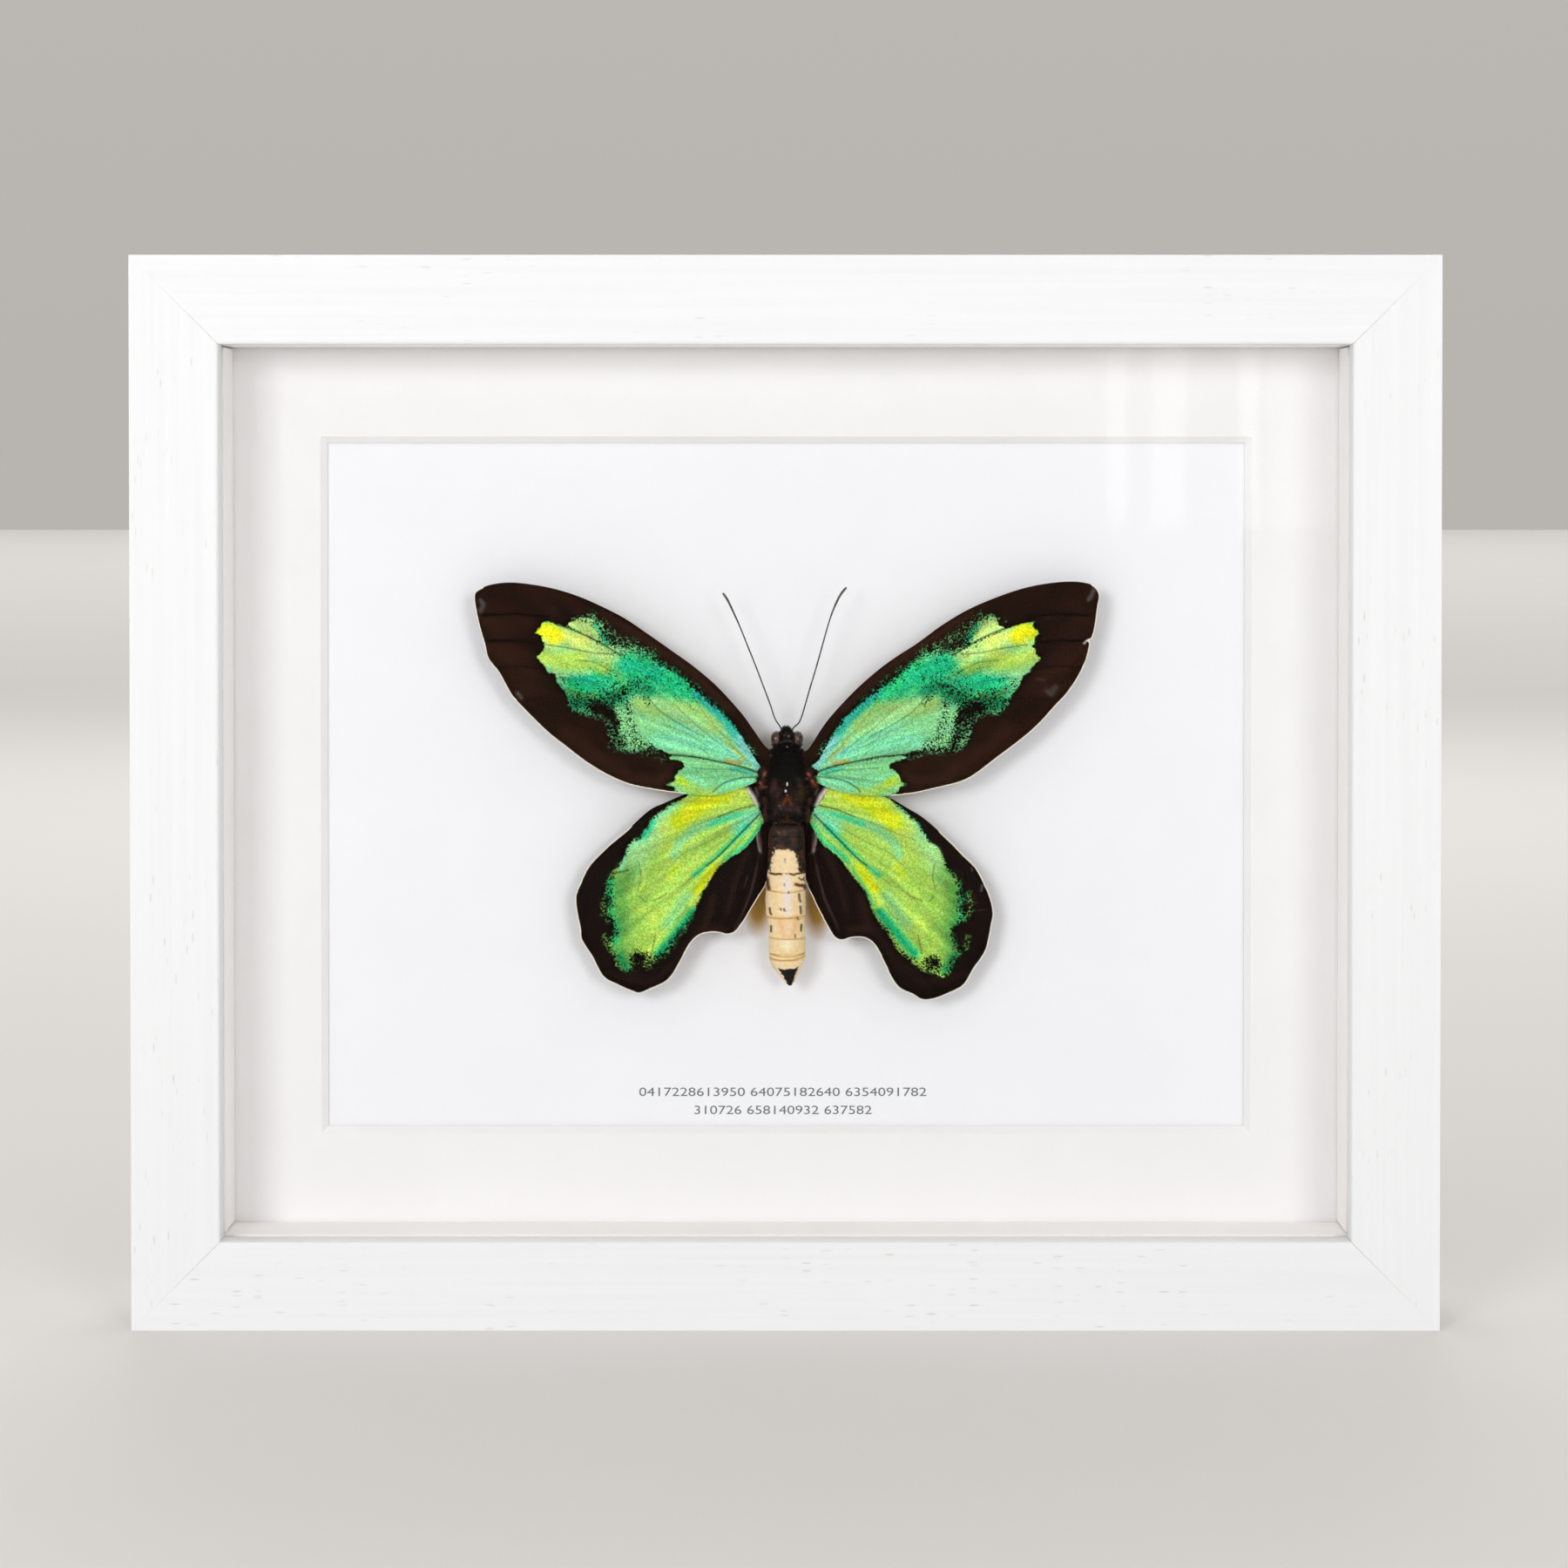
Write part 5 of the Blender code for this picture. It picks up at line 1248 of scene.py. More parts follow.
# How far a segment's rear rim stands over the next one, and how much each narrows to its front
RIM_STEP, SEGMENT_TAPER = 0.30, 0.10
ABDOMEN_JOINTS = (-10.6, -13.4, -18.6, -22.4, -28.5, -33, -36.3, -37.6, -39)
THORAX_RINGS = [
    (8.35, -2.3, 2.3, 15.8, 19.4), (7.9, -3.4, 3.4, 15, 20.2), (6.8, -3.7, 3.8, 14.5, 20.7),
    (5, -4, 4.1, 13.9, 21.1), (3.2, -4.4, 4.5, 13.5, 21.5), (1, -4.7, 4.8, 13.3, 21.7),
    (-1.2, -4.8, 5, 13.3, 21.7), (-3.5, -4.8, 4.9, 13.5, 21.5), (-5.4, -4.5, 4.6, 13.9, 21.2),
    (-6.9, -3.9, 4, 14.5, 20.8), (-7.6, -3, 3.1, 15.4, 19.9),
]
HEAD_BALLS = [
    ("face", 0, 17.2, 10.5, 2.2, 2.1, 1.6),
    ("face", 0.05, 17.5, 8.9, 2.9, 2.3, 0.9),
    ("face", -0.05, 17.3, 12, 1.2, 1.5, 1.1),
    ("eye", -2.25, 17, 10.5, 1.25, 1.7, 1.7),
    ("eye", 2.35, 17, 10.5, 1.25, 1.7, 1.7),
]
# Wing-root sclerites beside the thorax: x, depth, z and the three radii
ROOT_KNOBS = [
    (-5, 15, 3.4, 0.95, 0.8, 1.1), (-5.6, 15.2, 1.5, 0.95, 0.8, 0.85), (-4.9, 14.9, 0, 1.25, 0.8, 0.7),
    (-5.2, 15.4, -2.2, 0.8, 0.7, 1.2), (-4.5, 15, -6, 0.7, 0.8, 1.6),
    (4.9, 15, 3.2, 0.95, 0.8, 1), (5.5, 15.2, 1.6, 0.85, 0.8, 0.7), (5.9, 15.3, 0.5, 0.95, 0.7, 0.6),
    (4.9, 14.9, -0.8, 1, 0.8, 0.8), (5.3, 15.4, -2.4, 0.8, 0.7, 1.1), (4.5, 15, -6, 0.7, 0.8, 1.6),
]
LEG_JOINTS = [(5.2, 6.6, 3.2), (1.8, 3, -0.8), (-2.2, -1.2, -5.4)]
LEG_SPREAD = (1.5, 3.4, 1.1)
LEG_DEPTHS = (20.4, 22.6, 23.4)
CREAM_FIELD = [
    (-2.6, -13.3), (1.4, -13.5), (2.2, -15), (2.6, -17), (2.8, -18.4), (6, -18.8), (6, -46),
    (-6, -46), (-6, -18.8), (-3.6, -18.2), (-3.6, -17), (-3.2, -15.5), (-2.9, -14.2),
]
TAIL_MARK = [
    (-1.7, -39.4), (-0.6, -39.7), (0.6, -39.5), (1.8, -39.4), (2.5, -39.1), (1.8, -41), (1, -44),
    (0.2, -44), (-0.3, -42), (-1.1, -40.6),
]
ABDOMEN_STROKES = [
    ("pale", 1.9, 0.7, [(0.1, -33.8), (0.1, -35.2)]),
    ("straw", 1.6, 0.8, [(-3.4, -34.8), (0, -36.2), (3.4, -34.6)]),
    ("straw", 1.3, 0.6, [(-3.4, -20.8), (-2.6, -22.4), (-2.6, -27.4)]),
    ("straw", 1.2, 0.6, [(2, -20.6), (2.1, -23), (2, -27.5)]),
    ("orange", 1.7, 0.75, [(-1.4, -29.2), (-0.4, -31.8), (1.6, -31.6), (2, -28.8)]),
    ("orange", 0.9, 0.5, [(-1.8, -28), (0, -28.6), (2, -28)]),
    ("blush", 1.2, 0.7, [(0.4, -30), (0.4, -31.6)]),
    ("lilac", 1.5, 0.9, [(0, -19.6), (0.2, -21.5), (0.2, -23.6)]),
    ("lilac", 1.4, 0.9, [(0.2, -24), (0.2, -27.2)]),
    ("ochre", 0.3, 0.75, [(-4.6, -22.4), (0, -22.9), (4.4, -22.3)]),
    ("ochre", 0.34, 0.8, [(-4.6, -28.2), (-1, -28.4), (4.4, -28)]),
    ("ochre", 0.26, 0.7, [(-4.6, -32.7), (0, -32.9), (4.4, -32.8)]),
    ("ochre", 0.36, 0.9, [(-4.2, -36.2), (-1, -36.8), (2, -36.7), (4.3, -36)]),
    ("ochre", 0.4, 0.9, [(-4, -37.2), (-1.6, -37.6), (1.6, -37.5), (4.2, -36.8)]),
    ("ochre", 0.5, 0.7, [(-3.8, -38), (-2, -41), (-0.6, -43)]),
    ("ochre", 0.5, 0.7, [(3.9, -38), (2.9, -41), (1.8, -43)]),
    ("brown", 0.38, 0.95, [(-3.6, -18.7), (-2.4, -18.9), (-1.6, -18.7), (-1.2, -18.8)]),
    ("brown", 0.32, 0.95, [(0.7, -18.7), (1.6, -19), (2.2, -18.7), (4.2, -18.6)]),
    ("brown", 0.75, 0.95, [(-4.3, -20), (-4.1, -21.4), (-3.9, -22)]),
    ("brown", 0.6, 0.95, [(2, -21), (2.9, -21.3), (3.7, -21.4), (4, -22)]),
    ("bark", 0.26, 0.9, [(2.5, -17.6), (3.4, -17.9), (3.8, -17.4)]),
    ("bark", 0.24, 0.8, [(2.6, -19.6), (3.3, -20.2), (3.8, -19.7)]),
    ("bark", 0.22, 0.7, [(3.9, -20.4), (3.5, -19.9)]),
    ("bark", 0.38, 0.9, [(-3.7, -26.3), (-3.6, -27.2), (-3.4, -27.6)]),
    ("bark", 0.36, 0.9, [(-3.4, -30.2), (-3.4, -31.4)]),
    ("bark", 0.36, 0.9, [(2.7, -23.2), (2.8, -24.4), (3, -24.8)]),
    ("bark", 0.36, 0.9, [(3, -25.9), (3.1, -27.4)]),
    ("bark", 0.36, 0.9, [(3.2, -29.9), (3.1, -31.2)]),
    ("bark", 0.3, 0.7, [(2.3, -28.2), (2.5, -28.7)]),
    ("bark", 0.28, 0.8, [(0.4, -22.6), (0.5, -22.8)]),
    ("bark", 0.3, 0.85, [(-1.4, -26.2), (-1.2, -26.5)]),
    ("bark", 0.34, 0.9, [(-0.6, -26.3), (-0.4, -26.7)]),
    ("grey", 0.24, 0.8, [(-0.6, -20.8), (-0.4, -21.3)]),
    ("bark", 0.24, 0.8, [(1.9, -32), (1.8, -32.6)]),
    ("grey", 0.2, 0.7, [(-0.4, -15.4), (-0.5, -16.4)]),
    ("grey", 0.22, 0.7, [(-0.1, -18.6), (0.1, -18.9)]),
    ("brown", 0.5, 0.5, [(-1.8, -9.8), (0, -9.6), (1.3, -10.2)]),
    ("chestnut", 0.6, 0.5, [(-3.6, -14.4), (-3.9, -17.4)]),
]
THORAX_STROKES = [
    ("soot", 5.2, 1, [(-2, 6), (2, 6), (0, 4.2)]),
    ("bark", 3.2, 0.8, [(-3, -1), (0, -4.5), (3, -1)]),
    ("plum", 1.6, 0.6, [(-2.8, 1.2), (-2.4, -1.4)]),
    ("olive", 1.5, 0.7, [(2.6, 1.8), (3.6, 0.2), (3.2, -2)]),
    ("plum", 1.8, 0.6, [(-2.4, -4.4), (2.4, -4.4)]),
    ("rust", 0.5, 0.9, [(0.2, -1.6), (-0.4, -2.8), (-0.7, -3.5)]),
    ("rust", 0.45, 0.75, [(0.2, -1.6), (0.6, -2.8), (0.9, -3.5)]),
    ("bark", 0.6, 0.8, [(0.1, -3.2), (0.1, -4)]),
    ("chestnut", 1.2, 0.8, [(-5, 4), (-5.2, 1.2), (-5.8, 0.2)]),
    ("chestnut", 1.2, 0.8, [(4.9, 3.6), (5.5, 1.4), (5.9, 0.4)]),
    # Painted highlights on the tops of the wing-root knobs
    ("knob_highlight", 0.6, 0.8, [(-4.6, 3.3), (-4.8, 2.7)]),
    ("knob_highlight", 0.5, 0.7, [(-5.8, 1.2), (-5.6, 0.8)]),
    ("knob_highlight", 0.5, 0.5, [(-5.3, 0.2), (-4.4, 0.2)]),
    ("knob_highlight", 0.6, 0.9, [(4.6, 3.1), (4.9, 2.7)]),
    ("knob_highlight", 0.4, 0.7, [(4.2, 2), (4.5, 1.9)]),
    ("knob_highlight", 0.5, 0.9, [(5.5, 1.6), (5.7, 1.3)]),
    ("rust", 0.7, 0.8, [(5.8, 1), (6.4, 0.6)]),
    ("chestnut", 0.9, 0.7, [(-4.9, -2.5), (-4.6, -7)]),
    ("chestnut", 0.9, 0.7, [(5, -2.5), (4.6, -7)]),
    ("chestnut", 0.8, 0.5, [(-2.6, 1.6), (-3.2, -0.6)]),
    ("grey", 1, 0.3, [(2.4, -4.8), (3, -5.8)]),
    ("grey", 1, 0.3, [(-2.4, -5.4), (-3, -6.4)]),
    ("chestnut", 0.6, 0.6, [(0.1, -6.2), (0.1, -7.6)]),
    ("chestnut", 0.9, 0.6, [(-1.4, -7.4), (0, -7.2), (1.2, -7.6)]),
    ("pale_tuft_and_glint", 0.5, 0.7, [(-3.7, 7.2), (-3.5, 6.8)]),
    ("pale_tuft_and_glint", 0.5, 0.7, [(3.9, 7.5), (3.8, 7)]),
    ("grey", 0.5, 0.6, [(-1.6, -3.9), (-1.2, -4.3)]),
]
HEAD_STROKES = [
    ("soot", 1.6, 0.9, [(-0.9, 12.8), (0.9, 12.8)]),
    ("plum", 0.9, 0.6, [(-0.6, 11.4), (0.6, 11.6)]),
    ("pale_tuft_and_glint", 0.34, 0.75, [(0.35, 11.2), (0.45, 11.1)]),
    ("grey", 0.34, 0.75, [(-0.5, 11.4), (-0.55, 11.3)]),
    ("grey", 0.5, 0.55, [(-1.5, 9.7), (-0.6, 10.1), (0.6, 10.1), (1.5, 9.7)]),
    # A painted glint on the middle of the collar
    ("pale_tuft_and_glint", 0.34, 0.7, [(0.05, 8.9), (0.15, 8.8)]),
]
ANTENNAE = {
    "left": [
        (-1, 12.4), (-1.55, 13.3), (-2.6, 15), (-3.6, 18), (-5.1, 22), (-6.6, 26), (-8.4, 30.5),
        (-10.2, 35), (-12, 39), (-13, 41), (-13.9, 42.3),
    ],
    "right": [
        (1.1, 12.4), (1.75, 13.2), (2.5, 13.8), (3.2, 15.2), (4.2, 18.5), (5.2, 22), (6.4, 26),
        (7.8, 31), (8.9, 35), (10, 38.3), (11.3, 41.2), (12.2, 42.6), (13, 43.5),
    ],
}


def outward(obj):
    activate(obj)
    bpy.ops.object.mode_set(mode="EDIT")
    bpy.ops.mesh.select_all(action="SELECT")
    bpy.ops.mesh.normals_make_consistent(inside=False)
    bpy.ops.object.mode_set(mode="OBJECT")


def skin_over(name, rings, *materials):
    """A closed skin over rings of equally many points, with a point closing each end."""
    sides = len(rings[0])
    verts = [point for ring in rings for point in ring]
    middles = [sum(ring, Vector()) / sides for ring in (rings[0], rings[-1])]
    first, last = len(verts), len(verts) + 1
    tail = (len(rings) - 1) * sides
    faces = []
    for i in range(len(rings) - 1):
        for j in range(sides):
            a, b = i * sides + j, i * sides + (j + 1) % sides
            faces.append((a, b, b + sides, a + sides))
    for j in range(sides):
        k = (j + 1) % sides
        faces += [(first, k, j), (last, tail + j, tail + k)]
    obj = new_piece(name, mesh_of(name, verts + middles, faces), *materials)
    outward(obj)
    return obj


def tube(name, path, radii, sides, *materials):
    """A round skin along a path, its rings carried on without twist."""
    rings = []
    across = None
    for i, point in enumerate(path):
        ahead = (path[min(i + 1, len(path) - 1)] - path[max(i - 1, 0)]).normalized()
        if across is None:
            across = ahead.cross(Vector((0.3, 1.0, 0.2))).normalized()
        across = (across - across.project(ahead)).normalized()
        over = ahead.cross(across)
        turns = [2 * math.pi * k / sides for k in range(sides)]
        rings.append([point + (across * math.cos(t) + over * math.sin(t)) * radii[i] for t in turns])
    return skin_over(name, rings, *materials)


def ball(name, centre, radii, *materials):
    """A faceted ball stretched to three radii, millimetres in the specimen's own frame."""
    deselect()
    bpy.ops.mesh.primitive_ico_sphere_add(subdivisions=5, radius=1.0, location=on_specimen(*centre))
    obj = bpy.context.object
    obj.name = name
    obj.scale = [r * MM for r in radii]
    bpy.ops.object.transform_apply(location=True, rotation=False, scale=True)
    for material in materials:
        obj.data.materials.append(material)
    return obj


def roughen(obj, size, height):
    """Pushes the points along their normals by smooth noise."""
    for vertex in obj.data.vertices:
        lift = noise.fractal(vertex.co / size, 0.8, 2.0, 3)
        vertex.co += vertex.normal * height * lift


def local_points(mesh):
    """The points in the specimen's own millimetres: x, depth and z."""
    flat = np.empty(len(mesh.vertices) * 3)
    mesh.vertices.foreach_get("co", flat)
    points = flat.reshape(-1, 3) / MM
    return points - np.array([SPECIMEN_X, FRONT / MM, SPECIMEN_Z])


def mottle(points, size, seed):
    return np.array([noise.noise(Vector(p) / size + Vector((seed, 0, 0))) for p in points])


# Marks on the dark base of the abdomen
BASE_STROKES = [
    ("chestnut", 0.9, 0.75, [(-1.7, -9.9), (-0.7, -10.0)]),
    ("chestnut", 0.7, 0.55, [(1.1, -10.6), (1.5, -11.6)]),
    ("black", 1.3, 0.7, [(-0.2, -11.6), (0.4, -12.6)]),
    ("brown", 0.7, 0.6, [(-3.5, -8.4), (-3.9, -12.4), (-3.6, -16)]),
    ("brown", 0.7, 0.6, [(3.5, -8.4), (3.9, -12.4), (3.4, -16)]),
    ("rust", 0.5, 0.4, [(-2.2, -12.6), (0.4, -13.0)]),
    ("black", 1.0, 0.6, [(2.7, -10), (2.9, -13)]),
]


def read_at(z, profile, column=1):
    """A profile's value at a height. Its first column is z, from the front end to the tail."""
    return np.interp(-z, -profile[:, 0], profile[:, column])


def thorax_shape(*materials):
    """A rounded box of a body, its four sides read from listed rings."""
    table = np.array(THORAX_RINGS)
    left_side, right_side = smooth_path(table[:, [0, 1]], 0.25), smooth_path(table[:, [0, 2]], 0.25)
    sides = 72
    rings = []
    for z in np.linspace(table[0, 0], table[-1, 0], 70):
        left, right = read_at(z, left_side), read_at(z, right_side)
        fore, back = read_at(z, table, 3), read_at(z, table, 4)
        ring = []
        for k in range(sides):
            turn = 2 * math.pi * k / sides
            x = (left + right) / 2 + (right - left) / 2 * math.cos(turn)
            ring.append(on_specimen(x, (fore + back) / 2 + (back - fore) / 2 * math.sin(turn), z))
        rings.append(ring)
    body = skin_over("thorax_body", rings, *materials)
    roughen(body, 1.6 * MM, 0.22 * MM)
    return body


# A leg's radius at the hip and how much of it is lost by the foot, and the swelling at its joints
LEG_RADIUS, LEG_TAPER, LEG_SWELL = 0.36, 0.16, 0.05


def leg(side, hip, knee, foot, *materials):
    """One leg folded under the thorax, bent at the knee."""
    heights = (hip, knee, foot)
    bend = [on_specimen(side * x, depth, z) for x, depth, z in zip(LEG_SPREAD, LEG_DEPTHS, heights)]
    path = []
    for a, b in zip(bend, bend[1:]):
        path += [a.lerp(b, t) for t in np.arange(0, 1, 0.05)]
    path.append(bend[-1])
    shares = np.linspace(0, 1, len(path))
    swell = LEG_SWELL * np.sin(shares * 9 * math.pi) ** 2
    radii = (LEG_RADIUS - LEG_TAPER * shares + swell) * MM
    return tube("leg", path, radii, 10, *materials)


def head_shape(face, eye):
    """Face, brow and two eyes in one skin. The eyes keep their own material."""
    parts = []
    for kind, x, depth, z, *radii in HEAD_BALLS:
        part = ball("head_ball", (x, depth, z), radii, face, eye)
        if kind == "eye":
            for polygon in part.data.polygons:
                polygon.material_index = 1
        else:
            roughen(part, 0.6 * MM, 0.12 * MM)
        parts.append(part)
    join(*parts)
    parts[0].name = "head_and_eyes"
    return parts[0]


def abdomen_shape(*materials):
    """Telescoped segments: each swells to its rear rim and overlaps the next."""
    table = np.array(ABDOMEN_OUTLINE)
    left_side, right_side = smooth_path(table[:, [0, 1]], 0.25), smooth_path(table[:, [0, 2]], 0.25)
    front, tip = table[0, 0], table[-1, 0]
    joints = np.array(ABDOMEN_JOINTS)
    sides = 80
    rings = []
    for z in np.linspace(front, tip, 300):
        left, right = read_at(z, left_side), read_at(z, right_side)
        before = joints[joints >= z]
        after = joints[joints < z]
        start = before[-1] if len(before) else front
        end = after[0] if len(after) else tip
        along = (start - z) / max(start - end, 0.1)
        rim = -RIM_STEP * max(0.0, 1 - (start - z) / RIM_STEP) ** 2
        tuck = rim - SEGMENT_TAPER * (1 - along) * (z > joints[-1])
        half, middle = (right - left) / 2, (right + left) / 2
        ring = []
        for k in range(sides):
            turn = 2 * math.pi * k / sides
            reach = half + tuck
            crease = 0.05 * noise.noise(Vector((math.cos(turn) * 3, math.sin(turn) * 3, z * 2.4)))
            dent = 0.10 * noise.noise(Vector((math.cos(turn) * 1.2, math.sin(turn) * 1.2, z * 0.5)))
            reach = reach + (crease + dent) * min(1.0, half / 3)
            depth = ABDOMEN_DEPTH + ABDOMEN_FLATNESS * reach * math.sin(turn)
            ring.append(on_specimen(middle + reach * math.cos(turn), depth, z))
        rings.append(ring)
    return skin_over("abdomen_body", rings, *materials)


def paint_abdomen(obj):
    points = local_points(obj.data)
    flat = points[:, [0, 2]]
    wobble = 0.5 * mottle(points, 0.6, 3.0)
    cream = np.clip(0.5 + (depth_inside(flat, CREAM_FIELD) + wobble) / 0.35, 0, 1)
    tail = np.clip(0.5 + (depth_inside(flat, TAIL_MARK) + 0.6 * wobble) / 0.22, 0, 1)
    # Only the upper side is marked
    front = np.clip((18.9 - points[:, 1]) / 1.2, 0, 1)
    marked = paint(flat, "cream", ABDOMEN_STROKES, BODY_COLOURS)
    plain = np.tile(hex_colour(BODY_COLOURS["cream"]), (len(flat), 1))
    colours = marked * front[:, None] + plain * (1 - front)[:, None]
    dark = paint(flat, "bark", BASE_STROKES, BODY_COLOURS) * (1 + 0.7 * mottle(points, 0.7, 9.0)[:, None])
    colours = dark * (1 - cream)[:, None] + colours * cream[:, None]
    colours = colours * (1 - tail)[:, None] + hex_colour(BODY_COLOURS["black"]) * tail[:, None]
    put_attribute(obj.data, "skin_tint", colours)


def paint_dark(obj, strokes, base="black"):
    """Lays the dark marks of the head or thorax, broken up by mottling."""
    points = local_points(obj.data)
    colours = paint(points[:, [0, 2]], base, strokes, BODY_COLOURS)
    # Rubbed brown patches on the rear of the thorax
    rear = np.clip((2.6 - points[:, 2]) / 2.5, 0, 1)
    worn = 0.45 * np.clip((mottle(points, 0.55, 8.0) - 0.12) / 0.25, 0, 1) * rear
    colours = colours * (1 - worn[:, None]) + hex_colour(BODY_COLOURS["chestnut"]) * worn[:, None]
    shade = 1 + 0.6 * mottle(points, 0.4, 5.0)[:, None]
    put_attribute(obj.data, "skin_tint", np.clip(colours * shade, 0, 1))


# A hair's girth, how far it strays from its lean, and its least and most share of the full length
HAIR_GIRTH, HAIR_STRAY, HAIR_LENGTHS = 0.035 * MM, 0.28, (0.6, 1.25)


def fur(name, base, count, length, lean, strokes, material, slot_name, keep):
    """Fine tapering hairs set over a skin, leaning back, each with a little bend."""
    rng = np.random.default_rng(SEED)
    mesh = base.data
    areas = np.array([p.area for p in mesh.polygons])
    chosen = rng.choice(len(areas), count * 2, p=areas / areas.sum())
    roots, ways = [], []
    for index in chosen:
        polygon = mesh.polygons[index]
        corners = [mesh.vertices[v].co for v in polygon.vertices]
        shares = rng.dirichlet(np.ones(len(corners)))
        root = sum((c * s for c, s in zip(corners, shares)), Vector())
        if keep(root) and len(roots) < count:
            roots.append(root)
            ways.append(polygon.normal)
    verts, faces, strand = [], [], []
    for root, way in zip(roots, ways):
        spread = Vector(rng.normal(0, HAIR_STRAY, 3))
        tip_way = (way + lean + spread).normalized()
        size = length * rng.uniform(*HAIR_LENGTHS)
        width = HAIR_GIRTH * rng.uniform(0.8, 1.3)
        across = tip_way.cross(Vector((0.31, 0.2, 0.9))).normalized()
        over = tip_way.cross(across)
        start = len(verts)
        # A ring just under the skin and one half-way up, each with three corners
        for share, girth in ((-0.08, 1.0), (0.5, 0.8)):
            middle = root + (way * (1 - share) + tip_way * share).normalized() * size * share
            for turn in (0.0, 2.094, 4.189):
                verts.append(middle + (across * math.cos(turn) + over * math.sin(turn)) * width * girth)
                strand.append(max(share, 0.0))
        verts.append(root + tip_way * size)
        strand.append(1.0)
        faces.append((start, start + 2, start + 1))
        for k in range(3):
            a, b = start + k, start + (k + 1) % 3
            faces += [(a, b, b + 3, a + 3), (a + 3, b + 3, start + 6)]
    hairs = new_piece(name, mesh_of(name, verts, faces), material)
    outward(hairs)
    points = local_points(hairs.data)
    colours = paint(points[:, [0, 2]], "black", strokes, BODY_COLOURS)
    per_hair = np.repeat(rng.uniform(0.7, 1.35, len(points) // 7), 7)
    put_attribute(hairs.data, "skin_tint", np.clip(colours * per_hair[:, None], 0, 1))
    put_attribute(hairs.data, "strand", strand)
    return settle(hairs, slot_name)


def make_thorax(settings, pile):
    """The thorax with the knobs at the wings' roots, its folded legs and its pile."""
    dull = body_cuticle("thorax_cuticle", 0.5, 0.05)
    thorax = thorax_shape(dull)
    for x, depth, z, *radii in ROOT_KNOBS:
        knob = ball("knob", (x, depth, z), radii, dull)
        roughen(knob, 0.5 * MM, 0.25 * MM)
        join(thorax, knob)
    for side in (-1, 1):
        for hip, knee, foot in LEG_JOINTS:
            join(thorax, leg(side, hip, knee, foot, dull))
    paint_dark(thorax, THORAX_STROKES)
    smooth(thorax, 60)
    settle(thorax, "dark_body_hair", "thorax")
    under, shoulders = FRONT + 21.9 * MM, (SPECIMEN_Z + 1.5) * MM

    def upper_side(root):
        """Only the upper side has pile, and behind the shoulders only every third hair is left."""
        return root.y < under and (root.z > shoulders or int(root.x * 1e7) % 3 == 0)

    swept = Vector((0, -0.2, -0.8))
    fur(
        "thorax_pile", thorax, settings.hairs, settings.hair_length, swept, THORAX_STROKES, pile,
        "dark_body_hair", upper_side,
    )


def make_head(pile):
    """The head with its eyes, and the pile between and behind them."""
    face = body_cuticle("head_cuticle", 0.4, 0.08)
    head = head_shape(face, compound_eye())
    paint_dark(head, HEAD_STROKES)
    smooth(head, 60)
    settle(head, "dark_body_hair", "head")
    middle, brow = SPECIMEN_X * MM, (SPECIMEN_Z + 9.4) * MM

    def between_eyes(root):
        return abs(root.x - middle) < 1.5 * MM or root.z < brow

    swept = Vector((0, -0.3, 0.5))
    fur("head_pile", head, 3000, 0.5 * MM, swept, HEAD_STROKES, pile, "dark_body_hair", between_eyes)


def make_abdomen():
    """The abdomen, its marks painted on its skin."""
    abdomen = abdomen_shape(body_cuticle("abdomen_cuticle"))
    paint_abdomen(abdomen)
    smooth(abdomen, 60)
    settle(abdomen, "cream_abdomen", "abdomen")


class BodySettings(bpy.types.PropertyGroup):
    hairs: bpy.props.IntProperty(name="Hairs", description="Hairs on the thorax", default=9000, min=0)
    hair_length: bpy.props.FloatProperty(
        name="Hair length", description="Length of the thorax's pile", default=0.7 * MM, unit="LENGTH"
    )


class BUTTERFLY_OT_body(bpy.types.Operator):
    """Build the head, the thorax with its legs and pile, and the abdomen"""

    bl_idname = "butterfly.body"
    bl_label = "Body"

    def execute(self, context):
        pile = pile_hair()
        make_thorax(context.scene.butterfly_body, pile)
        make_head(pile)
        make_abdomen()
        return {"FINISHED"}


# How deep an antenna starts and how far its tip comes forward
ANTENNA_DEPTH, ANTENNA_RISE = 17.0, 1.2
# An antenna's radius, and what its thickened end and its rings add to it
ANTENNA_RADIUS, CLUB_SWELL, RING_SWELL = 0.165, 0.10, 0.02


class BUTTERFLY_OT_antennae(bpy.types.Operator):
    """Draw the two ringed antennae with their thickened ends"""

    bl_idname = "butterfly.antennae"
    bl_label = "Antennae"

    def execute(self, context):
        material = chitin("antenna_cuticle", "2A2826", "6A6965", 0.4)
        for side, knots in ANTENNAE.items():
            flat = smooth_path(knots, 0.11)
            shares = np.linspace(0, 1, len(flat))
            depths = ANTENNA_DEPTH - ANTENNA_RISE * shares
            club = np.clip((shares - 0.75) / 0.2, 0, 1)
            rings = RING_SWELL * np.sin(np.arange(len(flat)) * math.pi / 2)
            tip = np.sqrt(np.clip((1 - shares) / 0.012, 0.05, 1))
            radii = (ANTENNA_RADIUS + CLUB_SWELL * club + rings) * tip * MM
            path = [on_specimen(x, depth, z) for (x, z), depth in zip(flat, depths)]
            feeler = tube(f"antenna_{side}_ringed", path, radii, 10, material)
            smooth(feeler, 60)
            settle(feeler, "dark_antenna", f"antenna_{side}")
        return {"FINISHED"}


# Centre and radii of the two glue dabs, whose white is a painted glint
GLINT_GLUE_DABS = (((-0.2, 13.2, -0.6), (0.26, 0.3, 0.32)), ((0.12, 13.1, 0.95), (0.2, 0.25, 0.42)))


